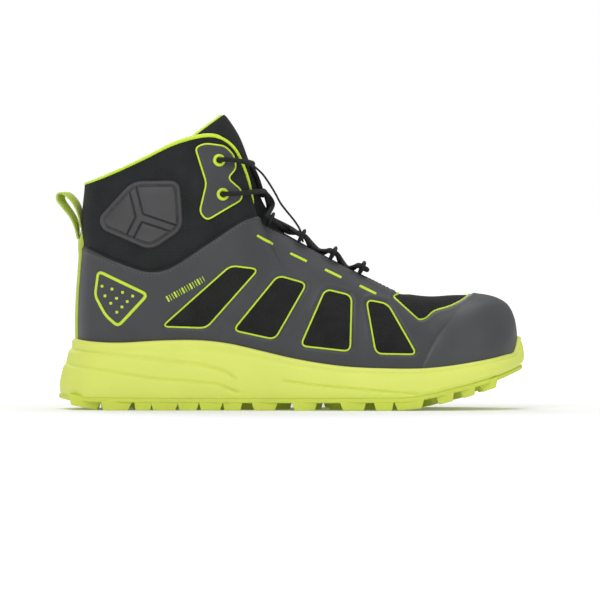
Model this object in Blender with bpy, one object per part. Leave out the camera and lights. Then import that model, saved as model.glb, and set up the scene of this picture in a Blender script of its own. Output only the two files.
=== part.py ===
"""A mid-height lace-up trail and safety boot for the right foot, European size 42 to 43.

Frame: +X towards the toe, +Y towards the inner side of the foot, +Z up. The origin is on the floor,
under the middle of the boot. Tables and constants are in millimetres; metres() makes the meshes' units.

The upper is one smooth last surface. Round the foot it is a ring of STATIONS; at each station a Bezier
line climbs from the insole board to the top line, which is the collar's edge, the edge of the lacing
throat, and then the ridge of the vamp. Every layer of the upper is that surface, offset along its normal.
"""

import bisect
import math

import bmesh
import bpy
from mathutils import Vector
from mathutils.bvhtree import BVHTree

# ---- driving dimensions ------------------------------------------------------------------------------
GAP = 0.3  # clearance kept between neighbouring pieces
TEXTILE = 1.3  # black base textile
OVERLAY = 1.2  # grey welded overlay
LINING = 1.1  # lime mesh lining
STIFFENER = 2.0  # toe cap and heel counter
COLLAR_PAD = 7.0  # collar panel with its foam, round the heel
COLLAR_THIN = 2.0  # the same panel under the eyelets
BOARD = 2.2  # puncture-resistant insole board
SOLE_LIP = 2.2  # thickness of the sole's wall at its rim
WALL = OVERLAY + 2 * GAP  # the sole's wall stands outside the overlay
OUTSOLE_PLATE = 2.5
BOARD_BED = 0.7  # the midsole's bed under the insole board
SHANK_THICK = 1.4
FOOTBED = 3.5
FOOTBED_HINGE_X = 137
TRIM, TRIM_WIDTH = 0.6, 1.3  # lime line printed round the windows
ANKLE_PAD_THICK = 3.0
STAY_THICK = 0.9  # patch under the eyelets
LUG = 5.5  # height of a lug under the plate
LACE_R = 1.5
EYELET_HOLE_R, EYELET_BARREL_R, EYELET_FLANGE_R = 2.1, 2.7, 4.0
WEBBING = 1.4  # pull loop and heel strip

# One row for each station, from the back of the heel to the tip of the toe:
# lateral foot x, y; medial foot x, y; top line x, centre y, half gap, z; rise and flare of the line
# where it leaves the board; and the pull that shapes it where it meets the top line (x, outwards, z).
STATIONS = (
    (-138.5, 0, -138.5, 0, -133, 0, 0, 148, 36, 4.0, (-1.5, 0, -34)),
    (-132, -20, -132, 19, -128, 0, 18, 150, 36, 4.0, (-1, 3, -34)),
    (-114, -31, -114, 30, -114, 0, 30, 156.5, 36, 4.0, (0, 4, -36)),
    (-90, -34, -90, 32, -95, 0, 36, 165.5, 36, 4.0, (0, 4, -40)),
    (-65, -34.5, -65, 31, -74, 0, 37, 175.5, 34, 4.0, (0, 5, -42)),
    (-42, -35.5, -42, 30.5, -52, 0, 34, 180, 32, 4.5, (1, 7, -42)),
    (-20, -38, -22, 31.5, -38, 0, 31.5, 173, 30, 4.5, (3, 7, -38)),
    (0, -41, -4, 34.5, -29.5, 0, 28.5, 156, 28, 4.5, (4, 7, -32)),
    (18, -44, 14, 39, -25.5, 0, 26, 139, 26, 4.5, (6, 8.5, -26)),
    (35, -46.5, 32, 43, -23, 0, 23.5, 125, 25, 4.5, (9, 11, -20)),
    (52, -48.5, 50, 46, -1, 0, 20.5, 112, 23, 4.0, (10, 14.5, -12)),
    (68, -49, 68, 47.5, 29, 0, 16.5, 95.5, 22, 4.0, (12, 17.5, -7)),
    (84, -48, 86, 47, 53, 0, 12, 83.5, 24, 4.0, (12, 22, -4)),
    (100, -45.5, 103, 44.5, 66, 0, 0, 77, 29, 4.0, (12, 30, -1)),
    (115, -40.5, 118.5, 39.5, 76, 0, 0, 74.5, 33, 4.0, (14, 32, 0)),
    (129, -31.5, 132, 31.5, 90, 1, 0, 73, 37, 4.0, (18, 31, 0)),
    (140.5, -15.5, 142, 19, 104, 2, 0, 74, 39, 3.5, (24, 22, 0)),
    (145.5, 3, 145.5, 3, 116, 3, 0, 75.2, 39, 2.5, (27, 0, 0)),
)
TIP = len(STATIONS) - 1
RING = 2 * TIP  # ring length: 0 is the heel, TIP the toe, and back along the medial side
RIDGE = 13  # from this station on, the two sides meet on the vamp's ridge
THROAT = 9  # the collar ends and the lacing edge begins
CORNER, CORNER_ROOM = 9.2, 1.5  # extra depth for the lining where the collar's edge turns into the throat's
COLUMNS = 2 * RING  # mesh columns round the foot
RIM_ROWS, BORDER_ROW, TOP_ROW = 2, 7, 9  # mesh rows, see grid_v

# Heights along the boot, as (x, z)
BOARD_LINE = ((-150, 34), (-100, 33), (-60, 31), (-25, 27), (10, 22.5), (45, 19.5), (85, 19.5), (115, 22), (150, 28))
RIM_LINE = (
    (-150, 49), (-139, 46.5), (-128, 45), (-112, 44.5), (-85, 46), (-60, 46.2), (-40, 44), (-20, 39.5), (0, 34.8),
    (20, 31.2), (40, 28.8), (65, 27.6), (85, 27.6), (100, 28.8), (115, 31), (130, 34), (141, 37.5), (146, 46), (150, 51),
)
PLATE_LINE = ((-152, 13), (-142, 8), (-128, 5.5), (72, 5.5), (88, 7.5), (105, 11.5), (120, 15.5), (135, 20.5), (152, 28.5))
OVERLAY_TOP = (
    (-150, 112), (-135, 107), (-120, 100), (-103, 93.5), (-93, 91), (-83, 92), (-73, 97), (-59.5, 106), (-48, 113.5),
    (-37, 121), (-30, 125), (-22, 127),
)
TOE_GUARD_REAR = ((82, 15), (86.5, 30), (91, 39), (95.5, 47), (101, 54), (107, 61), (113, 69), (124, 84))

# Outlines seen from the side, as (x, z) corners
WINDOWS = (
    ((-85.5, 54.5), (-39.5, 95.5), (-20, 93), (-55, 53.5)),
    ((-38.5, 52.2), (-8.5, 89), (11.3, 83.3), (-10, 46)),
    ((5.8, 42), (22.5, 80), (40.5, 75.5), (39.6, 38.3)),
    ((55.5, 36.8), (49, 73), (64, 70), (83.5, 36.3)),
)
VAMP_WINDOW = ((66, 74.5), (84, 58.5), (89, 59.5), (94, 64.5), (104, 67), (112, 70.5), (120, 76), (118, 90), (72, 90), (74, 77.5))
WINDOW_R, VAMP_R = 5, 3  # corner radii
TOE_FRONT = (*TOE_GUARD_REAR, (170, 84), (170, 15))
HEEL_PATCH = ((-126, 92), (-92.5, 76.3), (-113, 54), (-129.5, 78))
ANKLE_PAD = ((-104, 151), (-71, 151), (-70, 119), (-91, 104.5), (-128, 124))
EYELET_STAY = (
    (-63, 172.5), (-56, 175.3), (-43, 173.5), (-37, 167), (-35.5, 158.5), (-41, 152.3), (-32.2, 144.5), (-31.8, 138),
    (-55, 124.3), (-60, 130), (-55.5, 149),
)
EYELETS = ((-44.5, 141.7), (-47, 163.9))

# The tongue's ridge as (ring station, x, z), from its root under the vamp to its top edge
TONGUE_RIDGE = (
    (12.6, 61, 74.5), (12, 50, 80), (11, 29, 91.5), (10, 0, 111), (9, -17, 133), (8, -22.5, 147), (7, -27.5, 162),
    (6, -34, 179), (5.2, -42, 191.5), (4.7, -45, 193.5),
)
TONGUE_THICK = 4.5
TAB_STATION = 6.45  # the free top of the tongue begins here
LOOP_STATIONS = (9.4, 10.2, 10.87, 11.6)
LOOP_LIFT = 6.2
LOOP_R, LOOP_TUBE_R, LOOP_POINTS = 3.5, 0.8, 10
TONGUE_CLEAR = 2.2
INNER_RUN = (6.4, 14.6)  # route points of the lace's run through and behind the eyelets
LACE_ROOM = 4.2  # depth under the eyelets for the lace's inner run

KEEPER = (
    (-24.2, 160), (-18.4, 154.6), (-13.6, 147.8), (-10, 141.8), (-6.6, 135.5), (-2, 129.5), (2.6, 123.8), (6.4, 117.5),
    (8.2, 109.8),
)
KEEPER_HALF_WIDTH, KEEPER_THICK = 6.0, 0.9
PULL_LOOP = (
    (-140.2, 113.5), (-140.8, 119.5), (-143, 126), (-147.6, 132.5), (-151.2, 137.5), (-151.2, 141.2), (-148, 142),
    (-143.6, 138.6), (-140, 133), (-138.3, 126), (-138.0, 119.5),
)
PULL_HALF_WIDTH = 7.5
PULL_HINGE = (-139.4, 112.5)
# Lugs along each side: x, length, lean
SIDE_LUGS = (
    (-136, 12, -2), (-119, 13, -2), (-102, 12, -2), (-85, 12, -1), (-68, 12, 0), (-50, 12, 0), (-31, 13, 0), (-12, 13, 1),
    (8, 13, 1), (28, 13, 2), (48, 13, 2), (68, 13, 3), (88, 13, 3), (107, 12, 3), (124, 11, 3),
)
SIDES = ((-1, "lateral"), (1, "medial"))

LIME = (0.62, 0.80, 0.09)
GREY = (0.055, 0.055, 0.06)
BLACK = (0.012, 0.012, 0.013)


# ---- splines and small geometry ----------------------------------------------------------------------
def metres(point):
    return Vector(point) * 0.001


def catmull(p0, p1, p2, p3, t):
    return 0.5 * (2 * p1 + (p2 - p0) * t + (2 * p0 - 5 * p1 + 4 * p2 - p3) * t * t + (3 * (p1 - p2) + p3 - p0) * t ** 3)


def ring_value(values, r):
    """A smooth closed curve through values, one for each whole number of r."""
    count = len(values)
    i = math.floor(r)
    return catmull(*(values[(i + k) % count] for k in (-1, 0, 1, 2)), r - i)


def open_value(values, s):
    """A smooth open curve through values, one for each whole number of s."""
    last = len(values) - 1
    i = min(max(math.floor(s), 0), last - 1)
    ends = [values[min(max(i + k, 0), last)] for k in (-1, 0, 1, 2)]
    return catmull(*ends, s - i)


def height(line, x):
    """z at x on a line of (x, z) points, as a cubic with finite-difference slopes."""
    xs = [p[0] for p in line]
    i = min(max(bisect.bisect_right(xs, x) - 1, 0), len(line) - 2)
    slopes = [
        (line[min(k + 1, len(line) - 1)][1] - line[max(k - 1, 0)][1])
        / (line[min(k + 1, len(line) - 1)][0] - line[max(k - 1, 0)][0])
        for k in (i, i + 1)
    ]
    (x0, z0), (x1, z1) = line[i], line[i + 1]
    w = x1 - x0
    t = min(max((x - x0) / w, 0), 1)
    return (
        (2 * t ** 3 - 3 * t * t + 1) * z0
        + (t ** 3 - 2 * t * t + t) * w * slopes[0]
        + (3 * t * t - 2 * t ** 3) * z1
        + (t ** 3 - t * t) * w * slopes[1]
    )


def smoothstep(low, high, value):
    t = min(max((value - low) / (high - low), 0), 1)
    return t * t * (3 - 2 * t)


def rounded(corners, radius, steps=2):
    """A closed outline with each corner turned into an arc of steps chords."""
    points = []
    count = len(corners)
    for i, corner in enumerate(corners):
        here = Vector(corner)
        before = Vector(corners[i - 1]) - here
        after = Vector(corners[(i + 1) % count]) - here
        reach = min(radius, before.length * 0.45, after.length * 0.45)
        a, b = here + before.normalized() * reach, here + after.normalized() * reach
        for k in range(steps + 1):
            t = k / steps
            points.append((1 - t) ** 2 * a + 2 * t * (1 - t) * here + t * t * b)
    return points


def grown(corners, distance):
    """The outline moved outwards by distance, or inwards if that is negative, with its corners kept sharp."""
    count = len(corners)
    area = sum(corners[i - 1][0] * corners[i][1] - corners[i][0] * corners[i - 1][1] for i in range(count))
    turn = 1 if area > 0 else -1
    moved = []
    for i, corner in enumerate(corners):
        here = Vector(corner)
        before = (here - Vector(corners[i - 1])).normalized()
        after = (Vector(corners[(i + 1) % count]) - here).normalized()
        normals = [Vector((edge.y, -edge.x)) * turn for edge in (before, after)]
        miter = (normals[0] + normals[1]).normalized()
        moved.append(here + miter * distance / max(miter.dot(normals[0]), 0.4))
    return moved


def outline(corners, radius, distance=0.0):
    """A rounded outline, grown by distance."""
    return rounded(grown(corners, distance), max(radius + distance, 0.8))


# ---- the last surface --------------------------------------------------------------------------------
def ring_rows(lateral_row, medial_row):
    """Values round the whole ring: the lateral stations out, and the medial ones back."""
    return [lateral_row(s) for s in STATIONS] + [medial_row(s) for s in reversed(STATIONS[1:-1])]


FEET = ring_rows(lambda s: Vector((s[0], s[1], 0)), lambda s: Vector((s[2], s[3], 0)))
TOPS = ring_rows(lambda s: Vector((s[4], s[5], s[7])), lambda s: Vector((s[4], s[5], s[7])))
HALF_GAPS = ring_rows(lambda s: -s[6], lambda s: s[6])
RISES = ring_rows(lambda s: s[8], lambda s: s[8])
FLARES = ring_rows(lambda s: s[9], lambda s: s[9])
PULLS = ring_rows(
    lambda s: Vector((s[10][0], -s[10][1], s[10][2])), lambda s: Vector((s[10][0], s[10][1], s[10][2]))
)


def side_of(r):
    """-1 on the lateral half of the ring, +1 on the medial half."""
    return -1 if r % RING <= TIP else 1


def station_of(r):
    r = r % RING
    return r if r <= TIP else RING - r


def last_line(r):
    """The four Bezier points of the line that climbs the last at r."""
    foot = ring_value(FEET, r)
    foot.z = height(BOARD_LINE, foot.x)
    ahead = ring_value(FEET, r + 0.05) - ring_value(FEET, r - 0.05)
    outward = Vector((ahead.y, -ahead.x, 0)).normalized()
    top = ring_value(TOPS, r)
    gap = ring_value(HALF_GAPS, r)
    top.y += side_of(r) * max(side_of(r) * gap, 0) if station_of(r) < RIDGE else 0
    rise = Vector((0, 0, ring_value(RISES, r))) + outward * ring_value(FLARES, r)
    return foot, foot + rise, top + ring_value(PULLS, r), top


def last_point(r, v):
    a, b, c, d = last_line(r)
    return a * (1 - v) ** 3 + b * 3 * v * (1 - v) ** 2 + c * 3 * v * v * (1 - v) + d * v ** 3


def last_normal(r, v):
    step = 0.02
    low, high = max(v - step, 0), min(v + step, 1)
    across = last_point(r + step, v) - last_point(r - step, v)
    up = last_point(r, high) - last_point(r, low)
    return across.cross(up).normalized()


def offset_point(r, v, distance):
    """The last's point moved out by distance. On the ridge both sides give the same point."""
    if v > 0.999 and station_of(r) >= RIDGE:
        near = 0.96
        normal = (last_normal(r, near) + last_normal(RING - r, near)).normalized()
    else:
        normal = last_normal(r, v)
    return last_point(r, v) + normal * distance


def v_where(r, low_side):
    """The v at which the line at r crosses a height given as a test of the point, by bisection."""
    low, high = 0.0, 1.0
    for _ in range(24):
        middle = (low + high) / 2
        low, high = (middle, high) if low_side(last_point(r, middle)) else (low, middle)
    return low


def rim_v(r):
    return v_where(r, lambda p: p.z < height(RIM_LINE, p.x))


def overlay_v(r):
    """Where the overlay ends and the collar panel begins."""
    if station_of(r) >= THROAT:
        return 1.0
    return v_where(r, lambda p: p.z < height(OVERLAY_TOP, p.x))


def grid_v(r, row):
    """Mesh rows: RIM_ROWS up to the sole's rim, then up to the overlay's edge, then up to the collar's edge."""
    rim, border = rim_v(r), overlay_v(r)
    if row <= RIM_ROWS:
        return rim * row / RIM_ROWS
    if row <= BORDER_ROW:
        return rim + (border - rim) * (row - RIM_ROWS) / (BORDER_ROW - RIM_ROWS)
    return border + (1 - border) * (row - BORDER_ROW) / (TOP_ROW - BORDER_ROW)


def pad_depth(station):
    """Thickness of the collar with its foam: thick round the heel, thin under the eyelets."""
    return COLLAR_PAD + (COLLAR_THIN - COLLAR_PAD) * smoothstep(3.0, 5.0, station)


def lining_depth(station, row):
    """How far the lining lies under the last's surface, past whatever is between them."""
    under_textile = TEXTILE + 4 * GAP + CORNER_ROOM * max(1 - abs(station - CORNER) / 2, 0)
    if row >= BORDER_ROW and station < THROAT:
        return max(pad_depth(station) + GAP, under_textile)
    toe = smoothstep(12, 13.5, station)
    heel = 1 - smoothstep(4.5, 6.0, station)
    return under_textile + (STIFFENER + GAP) * max(toe, heel)


# ---- making objects ----------------------------------------------------------------------------------
def material(name, colour, roughness, metallic=0.0):
    made = bpy.data.materials.get(name) or bpy.data.materials.new(name)
    made.use_nodes = True
    shader = made.node_tree.nodes["Principled BSDF"]
    shader.inputs["Base Color"].default_value = (*colour, 1)
    shader.inputs["Roughness"].default_value = roughness
    shader.inputs["Metallic"].default_value = metallic
    return made


def finish(name, bm, finish_material, smooth=True):
    """Makes an object of a bmesh in millimetres, with its faces out."""
    bmesh.ops.recalc_face_normals(bm, faces=bm.faces)
    for vertex in bm.verts:
        vertex.co *= 0.001
    mesh = bpy.data.meshes.new(name)
    bm.to_mesh(mesh)
    bm.free()
    if smooth:
        mesh.shade_smooth()
        mesh.set_sharp_from_angle(angle=math.radians(35))
    made = bpy.data.objects.new(name, mesh)
    bpy.context.scene.collection.objects.link(made)
    if finish_material:
        mesh.materials.append(finish_material)
    return made


def boolean(target, cutter, operation="DIFFERENCE"):
    modifier = target.modifiers.new(operation.lower() + "_" + cutter.name, "BOOLEAN")
    modifier.operation = operation
    modifier.solver = "EXACT"
    modifier.object = cutter
    cutter.hide_render = True
    cutter.display_type = "WIRE"


def prism(name, outline, y0, y1):
    """A cutter: an outline in x and z, extruded from y0 to y1."""
    bm = bmesh.new()
    near = [bm.verts.new((p[0], y0, p[1])) for p in outline]
    far = [bm.verts.new((p[0], y1, p[1])) for p in outline]
    count = len(outline)
    bm.faces.new(near)
    bm.faces.new(list(reversed(far)))
    for i in range(count):
        bm.faces.new((near[i], near[(i + 1) % count], far[(i + 1) % count], far[i]))
    return finish(name, bm, None, smooth=False)


def loft(name, loops, finish_material, closed_ends=True):
    """A solid through loops that all have the same number of points."""
    bm = bmesh.new()
    rings = [[bm.verts.new(p) for p in loop] for loop in loops]
    count = len(loops[0])
    for low, high in zip(rings, rings[1:]):
        for i in range(count):
            bm.faces.new((low[i], low[(i + 1) % count], high[(i + 1) % count], high[i]))
    if closed_ends:
        bm.faces.new(list(reversed(rings[0])))
        bm.faces.new(rings[-1])
    else:
        for i in range(count):
            bm.faces.new((rings[-1][i], rings[-1][(i + 1) % count], rings[0][(i + 1) % count], rings[0][i]))
    return finish(name, bm, finish_material)


def grid_point(k, row, distance, shift=0.0):
    """The point of the mesh grid at column k and row, moved out by distance and down the line by shift."""
    r = k * RING / COLUMNS
    return offset_point(r, max(grid_v(r, row) - shift, 0), distance)


def column_station(k):
    return station_of(k * RING / COLUMNS)


def cell_triangles(k):
    """How a grid cell at column k is split, the same in every layer so that facets stay parallel."""
    return ((0, 1, 2), (0, 2, 3)) if k % COLUMNS < COLUMNS // 2 else ((0, 1, 3), (1, 2, 3))


def layer(name, cells, outer, inner, finish_material, shift=lambda station, row: 0.0):
    """A layer of the upper: the grid cells (column, row), as a wall between two offsets of the last.
    outer and inner give the offset for a station and row. Cells past the ridge share its points."""
    bm = bmesh.new()
    points = {}

    def vertex(side, k, row):
        station = column_station(k)
        top_row = BORDER_ROW if station >= THROAT else TOP_ROW
        row = min(row, top_row)
        on_ridge = row == top_row and station >= RIDGE
        key = (side, row, station if on_ridge else -1, 0 if on_ridge else k % COLUMNS)
        if key not in points:
            distance = (outer if side else inner)(station, row)
            points[key] = bm.verts.new(grid_point(k % COLUMNS, row, distance, shift(station, row)))
        return points[key]

    def face(*corners):
        distinct = list(dict.fromkeys(corners))
        if len(distinct) > 2:
            bm.faces.new(distinct)

    edges = {}
    for k, row in cells:
        corners = ((k, row), (k + 1, row), (k + 1, row + 1), (k, row + 1))
        for first, second, third in cell_triangles(k):
            for wall in (0, 1):
                face(*(vertex(wall, *corners[i]) for i in (first, second, third)))
        for a, b in zip(corners, corners[1:] + corners[:1]):
            pair = frozenset((vertex(1, *a), vertex(1, *b)))
            if len(pair) == 2:
                edges.setdefault(pair, []).append((a, b))
    for sides in edges.values():
        if len(sides) == 1:
            a, b = sides[0]
            face(vertex(1, *b), vertex(1, *a), vertex(0, *a), vertex(0, *b))
    return finish(name, bm, finish_material)


def cells_between(first, last, low_row, high_row):
    """Grid cells from ring place first to last, which may be negative or past the ring's end."""
    per_station = COLUMNS // RING
    columns = range(round(first * per_station), round(last * per_station))
    return [
        (k % COLUMNS, row) for k in columns for row in range(low_row, high_row)
        if row < BORDER_ROW or max(column_station(k), column_station(k + 1)) <= THROAT
    ]


def flat(distance):
    return lambda station, row: distance


def outer_tree(obj):
    """A search tree of the facets of an object that face out of the boot, in millimetres."""
    mesh = obj.data
    faces = [
        tuple(p.vertices) for p in mesh.polygons if p.normal.y * p.center.y > 0 or p.normal.x + p.normal.z > 0.5
    ]
    return BVHTree.FromPolygons([v.co * 1000 for v in mesh.vertices], faces)


def on_side(tree, x, z, side):
    """The surface point and outward normal that a line along Y meets first from outside."""
    hit, normal, _, _ = tree.ray_cast(Vector((x, side * 120, z)), Vector((0, -side, 0)))
    if hit is None:
        raise ValueError(f"nothing at x {x:.1f}, z {z:.1f}")
    return hit, normal if normal.y * side > 0 else -normal


def tube(name, points, radius, finish_material, cyclic=False, resolution=2):
    curve = bpy.data.curves.new(name, "CURVE")
    curve.dimensions = "3D"
    curve.bevel_depth = radius * 0.001
    curve.bevel_resolution = resolution
    curve.use_fill_caps = not cyclic
    curve.render_resolution_u = 0
    spline = curve.splines.new("POLY")
    spline.points.add(len(points) - 1)
    for slot, p in zip(spline.points, points):
        slot.co = (*metres(p), 1)
    spline.use_cyclic_u = cyclic
    made = bpy.data.objects.new(name, curve)
    bpy.context.scene.collection.objects.link(made)
    curve.materials.append(finish_material)
    return made


def ribbon(name, centres, half_width, thickness, finish_material):
    """Webbing that bends about Y: a rectangle at each centre, square to the path."""
    across = Vector((0, 1, 0))
    loops = []
    for i, centre in enumerate(centres):
        along = centres[min(i + 1, len(centres) - 1)] - centres[max(i - 1, 0)]
        rise = across.cross(along).normalized() * thickness / 2
        side = across * half_width
        loops.append([centre - side - rise, centre + side - rise, centre + side + rise, centre - side + rise])
    return loft(name, loops, finish_material)


def smooth_path(points, per_span):
    """Points along a smooth curve through a route."""
    vectors = [Vector(p) for p in points]
    count = (len(points) - 1) * per_span
    return [open_value(vectors, i / per_span) for i in range(count + 1)]


def side_prisms(name, outline):
    """Two cutters that hold an outline on the lateral and on the medial side."""
    return {side: prism(f"{name}_{word}", outline, side * 1.5, side * 90) for side, word in SIDES}


# ---- sole --------------------------------------------------------------------------------------------
def across_faces(bm, ring, upward):
    """Closes a ring of vertices, one for each column, with strips from side to side."""
    for k in range(COLUMNS // 2):
        quad = [ring[k], ring[k + 1], ring[(COLUMNS - k - 1) % COLUMNS], ring[(COLUMNS - k) % COLUMNS]]
        quad = list(dict.fromkeys(quad))
        bm.faces.new(quad if upward else list(reversed(quad)))


def sole_wall(k):
    """Points down the sole's outside at column k: rim, upper bulge, lower bulge, foot of the wall."""
    rim_out = grid_point(k, RIM_ROWS, WALL + SOLE_LIP)
    foot = grid_point(k, 0, WALL)
    station = column_station(k)
    swell = 5.5 + 4.0 * (1 - smoothstep(0, 3, station)) + 1.0 * smoothstep(14, 17, station)
    outward = last_normal(k * RING / COLUMNS, 0)
    outward.z = 0
    outward.normalize()
    bottom = height(PLATE_LINE, foot.x) + OUTSOLE_PLATE + GAP
    bulge = foot + outward * (swell - 0.3)
    bulge.z = bottom + (rim_out.z - bottom) * 0.55
    low = foot + outward * swell
    low.z = bottom + (rim_out.z - bottom) * 0.2
    end = foot + outward * (swell - 2)
    end.z = bottom
    rim_out.z -= 0.6
    return [rim_out, bulge, low, end]


def board_plate(name, halves, under, over, finish_material):
    """A plate that follows the board line, from under it to over it. halves are (lateral, medial) points in
    x and y, paired across the foot, from the heel to the toe."""
    bm = bmesh.new()
    levels = []
    for rise in (under, over):
        levels.append([[bm.verts.new((x, y, height(BOARD_LINE, x) + rise)) for x, y in pair] for pair in halves])
    low, high = levels
    for i in range(len(halves) - 1):
        bm.faces.new((low[i][0], low[i][1], low[i + 1][1], low[i + 1][0]))
        bm.faces.new((high[i][0], high[i + 1][0], high[i + 1][1], high[i][1]))
        for j in (0, 1):
            bm.faces.new((low[i][j], low[i + 1][j], high[i + 1][j], high[i][j]))
    for i in (0, -1):
        bm.faces.new((low[i][0], low[i][1], high[i][1], high[i][0]))
    return finish(name, bm, finish_material)


def shank_pairs(grow):
    return [
        ((x, -half - grow), (x, half + grow))
        for x, half in ((-95 - grow, 10), (-90, 13), (-60, 13), (-20, 12), (15, 13), (20 + grow, 10))
    ]


def make_midsole(finish_material):
    bm = bmesh.new()
    rings = [[] for _ in range(3 + 4)]
    for k in range(COLUMNS):
        floor = grid_point(k, 0, WALL)
        floor.z = height(BOARD_LINE, floor.x) - BOARD_BED
        wall = [grid_point(k, row, WALL) for row in (1, 2)]
        for ring, point in zip(rings, [floor, *wall, *sole_wall(k)]):
            ring.append(bm.verts.new(point))
    for low, high in zip(rings, rings[1:]):
        for k in range(COLUMNS):
            n = (k + 1) % COLUMNS
            corners = (low[k], low[n], high[n], high[k])
            for triangle in cell_triangles(k):
                bm.faces.new([corners[i] for i in triangle])
    across_faces(bm, rings[0], True)
    across_faces(bm, rings[-1], False)
    made = finish("midsole", bm, finish_material)
    pocket = board_plate("shank_pocket", shank_pairs(0.5), -BOARD_BED - SHANK_THICK - 0.6, 20, None)
    boolean(made, pocket)
    return made


def lug_block(bm, x, y, length, width, turn, slant):
    """One tapered lug under the plate at (x, y), turned about Z; slant leans its front and back faces."""
    plate = height(PLATE_LINE, x)
    corners = []
    for share, z in ((1.0, plate + 0.9), (0.8, plate - LUG)):
        for sx, sy in ((-1, -1), (1, -1), (1, 1), (-1, 1)):
            dx = sx * length / 2 * share + slant * (1 - share)
            dy = sy * width / 2 * share
            px = x + dx * math.cos(turn) - dy * math.sin(turn)
            py = y + dx * math.sin(turn) + dy * math.cos(turn)
            lift = height(PLATE_LINE, px) - plate
            corners.append(bm.verts.new((px, py, max(z + lift, 0))))
    low, high = corners[4:], corners[:4]
    bm.faces.new(low)
    bm.faces.new(list(reversed(high)))
    for i in range(4):
        bm.faces.new((high[i], high[(i + 1) % 4], low[(i + 1) % 4], low[i]))


def sole_half_widths(x):
    """The sole's lateral and medial y at x, at the foot of its wall."""
    found = {}
    for side in (-1, 1):
        best = min(
            (sole_wall(k)[-1] for k in range(COLUMNS) if side_of(k * RING / COLUMNS) == side),
            key=lambda p: abs(p.x - x),
        )
        found[side] = best.y
    return found[-1], found[1]


def make_outsole(finish_material):
    bm = bmesh.new()
    rings = [[], [], []]
    for k in range(COLUMNS):
        end = sole_wall(k)[-1]
        inward = last_normal(k * RING / COLUMNS, 0)
        for ring, (shift, drop) in zip(rings, ((0, GAP), (0, GAP + 1), (1.0, GAP + OUTSOLE_PLATE))):
            ring.append(bm.verts.new((end.x - inward.x * shift, end.y - inward.y * shift, end.z - drop)))
    for low, high in zip(rings, rings[1:]):
        for k in range(COLUMNS):
            n = (k + 1) % COLUMNS
            bm.faces.new((low[k], low[n], high[n], high[k]))
    across_faces(bm, rings[0], True)
    across_faces(bm, rings[-1], False)
    made = finish("outsole", bm, finish_material)
    lugs = bmesh.new()
    for x, length, slant in SIDE_LUGS:
        lateral, medial = sole_half_widths(x)
        lug_block(lugs, x, lateral + 8.5, length, 13, 0.0, slant)
        lug_block(lugs, x, medial - 8.5, length, 13, 0.0, slant)
        room = (medial - lateral) / 2 - 17
        middle = (medial + lateral) / 2
        if room > 13:
            for side in (-1, 1):
                lug_block(lugs, x + 5, middle + side * room * 0.45, length * 0.75, room * 0.55, side * 0.5, slant)
    block = finish("lug_blocks", lugs, None, smooth=False)
    boolean(made, block, "UNION")
    return made


# ---- inside the boot ---------------------------------------------------------------------------------
def inside_pairs(distance):
    """Pairs of (x, y) across the foot at the insole board, inside the upper by distance."""
    pairs = []
    for k in range(1, COLUMNS // 2):
        pair = []
        for column in (k, COLUMNS - k):
            depth = distance + lining_depth(column_station(column), 0)
            point = offset_point(column * RING / COLUMNS, 0, -depth)
            pair.append((point.x, point.y))
        if k == 1 or pair[0][0] > pairs[-1][0][0] + 1.0:
            pairs.append(tuple(pair))
    return pairs


def make_insides(colours):
    lime, black = colours["mesh"], colours["foam"]
    board_plate("insole_board", inside_pairs(LINING + GAP), 0, BOARD, colours["board"])
    board_plate("shank", shank_pairs(0), -BOARD_BED - SHANK_THICK - 0.2, -BOARD_BED - 0.2, colours["steel"])
    footbed = board_plate(
        "footbed", [p for p in inside_pairs(LINING + GAP + 1.0)], BOARD + GAP, BOARD + GAP + FOOTBED, black
    )
    pivot = Vector((FOOTBED_HINGE_X, 0, height(BOARD_LINE, FOOTBED_HINGE_X) + BOARD + GAP)) * 0.001
    for vertex in footbed.data.vertices:
        vertex.co -= pivot
    footbed.location = pivot
    under = TEXTILE + GAP
    layer("toe_cap", cells_between(14, 20, 0, BORDER_ROW), flat(-under), flat(-under - STIFFENER), colours["steel"])
    layer(
        "heel_counter", cells_between(-4.5, 4.5, 0, BORDER_ROW - 1), flat(-under), flat(-under - STIFFENER),
        colours["board"],
    )
    lining = layer(
        "lining",
        cells_between(0, RING, 0, TOP_ROW),
        lambda station, row: -lining_depth(station, row),
        lambda station, row: -lining_depth(station, row) - LINING,
        lime,
    )
    for side, word in SIDES:
        room = layer(
            f"lining_room_{word}", side_cells(side, 7.5, 11, 3, BORDER_ROW), flat(4), flat(-TEXTILE - 1.7 * GAP), None
        )
        boolean(lining, room)
    return lining


# ---- upper -------------------------------------------------------------------------------------------
def eyelet_frames(tree):
    """For each eyelet: its name, centre on the surface and outward normal."""
    frames = []
    for side, word in SIDES:
        for i, (x, z) in enumerate(EYELETS):
            centre, normal = on_side(tree, x, z, side)
            frames.append((f"eyelet_{word}_{i + 1}", centre, normal))
    return frames


def revolve(name, profile, centre, axis, finish_material, segments=16, closed=True):
    """A ring of (radius, height) profile points turned about the axis through centre."""
    bm = bmesh.new()
    turn = Vector((0, 0, 1)).rotation_difference(axis).to_matrix()
    rings = []
    for i in range(segments):
        angle = 2 * math.pi * i / segments
        rings.append([
            bm.verts.new(centre + turn @ Vector((r * math.cos(angle), r * math.sin(angle), z))) for r, z in profile
        ])
    count = len(profile)
    for i in range(segments):
        a, b = rings[i], rings[(i + 1) % segments]
        for j in range(count if closed else count - 1):
            bm.faces.new((a[j], b[j], b[(j + 1) % count], a[(j + 1) % count]))
    if not closed:
        bm.faces.new([ring[0] for ring in rings])
        bm.faces.new([ring[-1] for ring in reversed(rings)])
    return finish(name, bm, finish_material)


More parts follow.
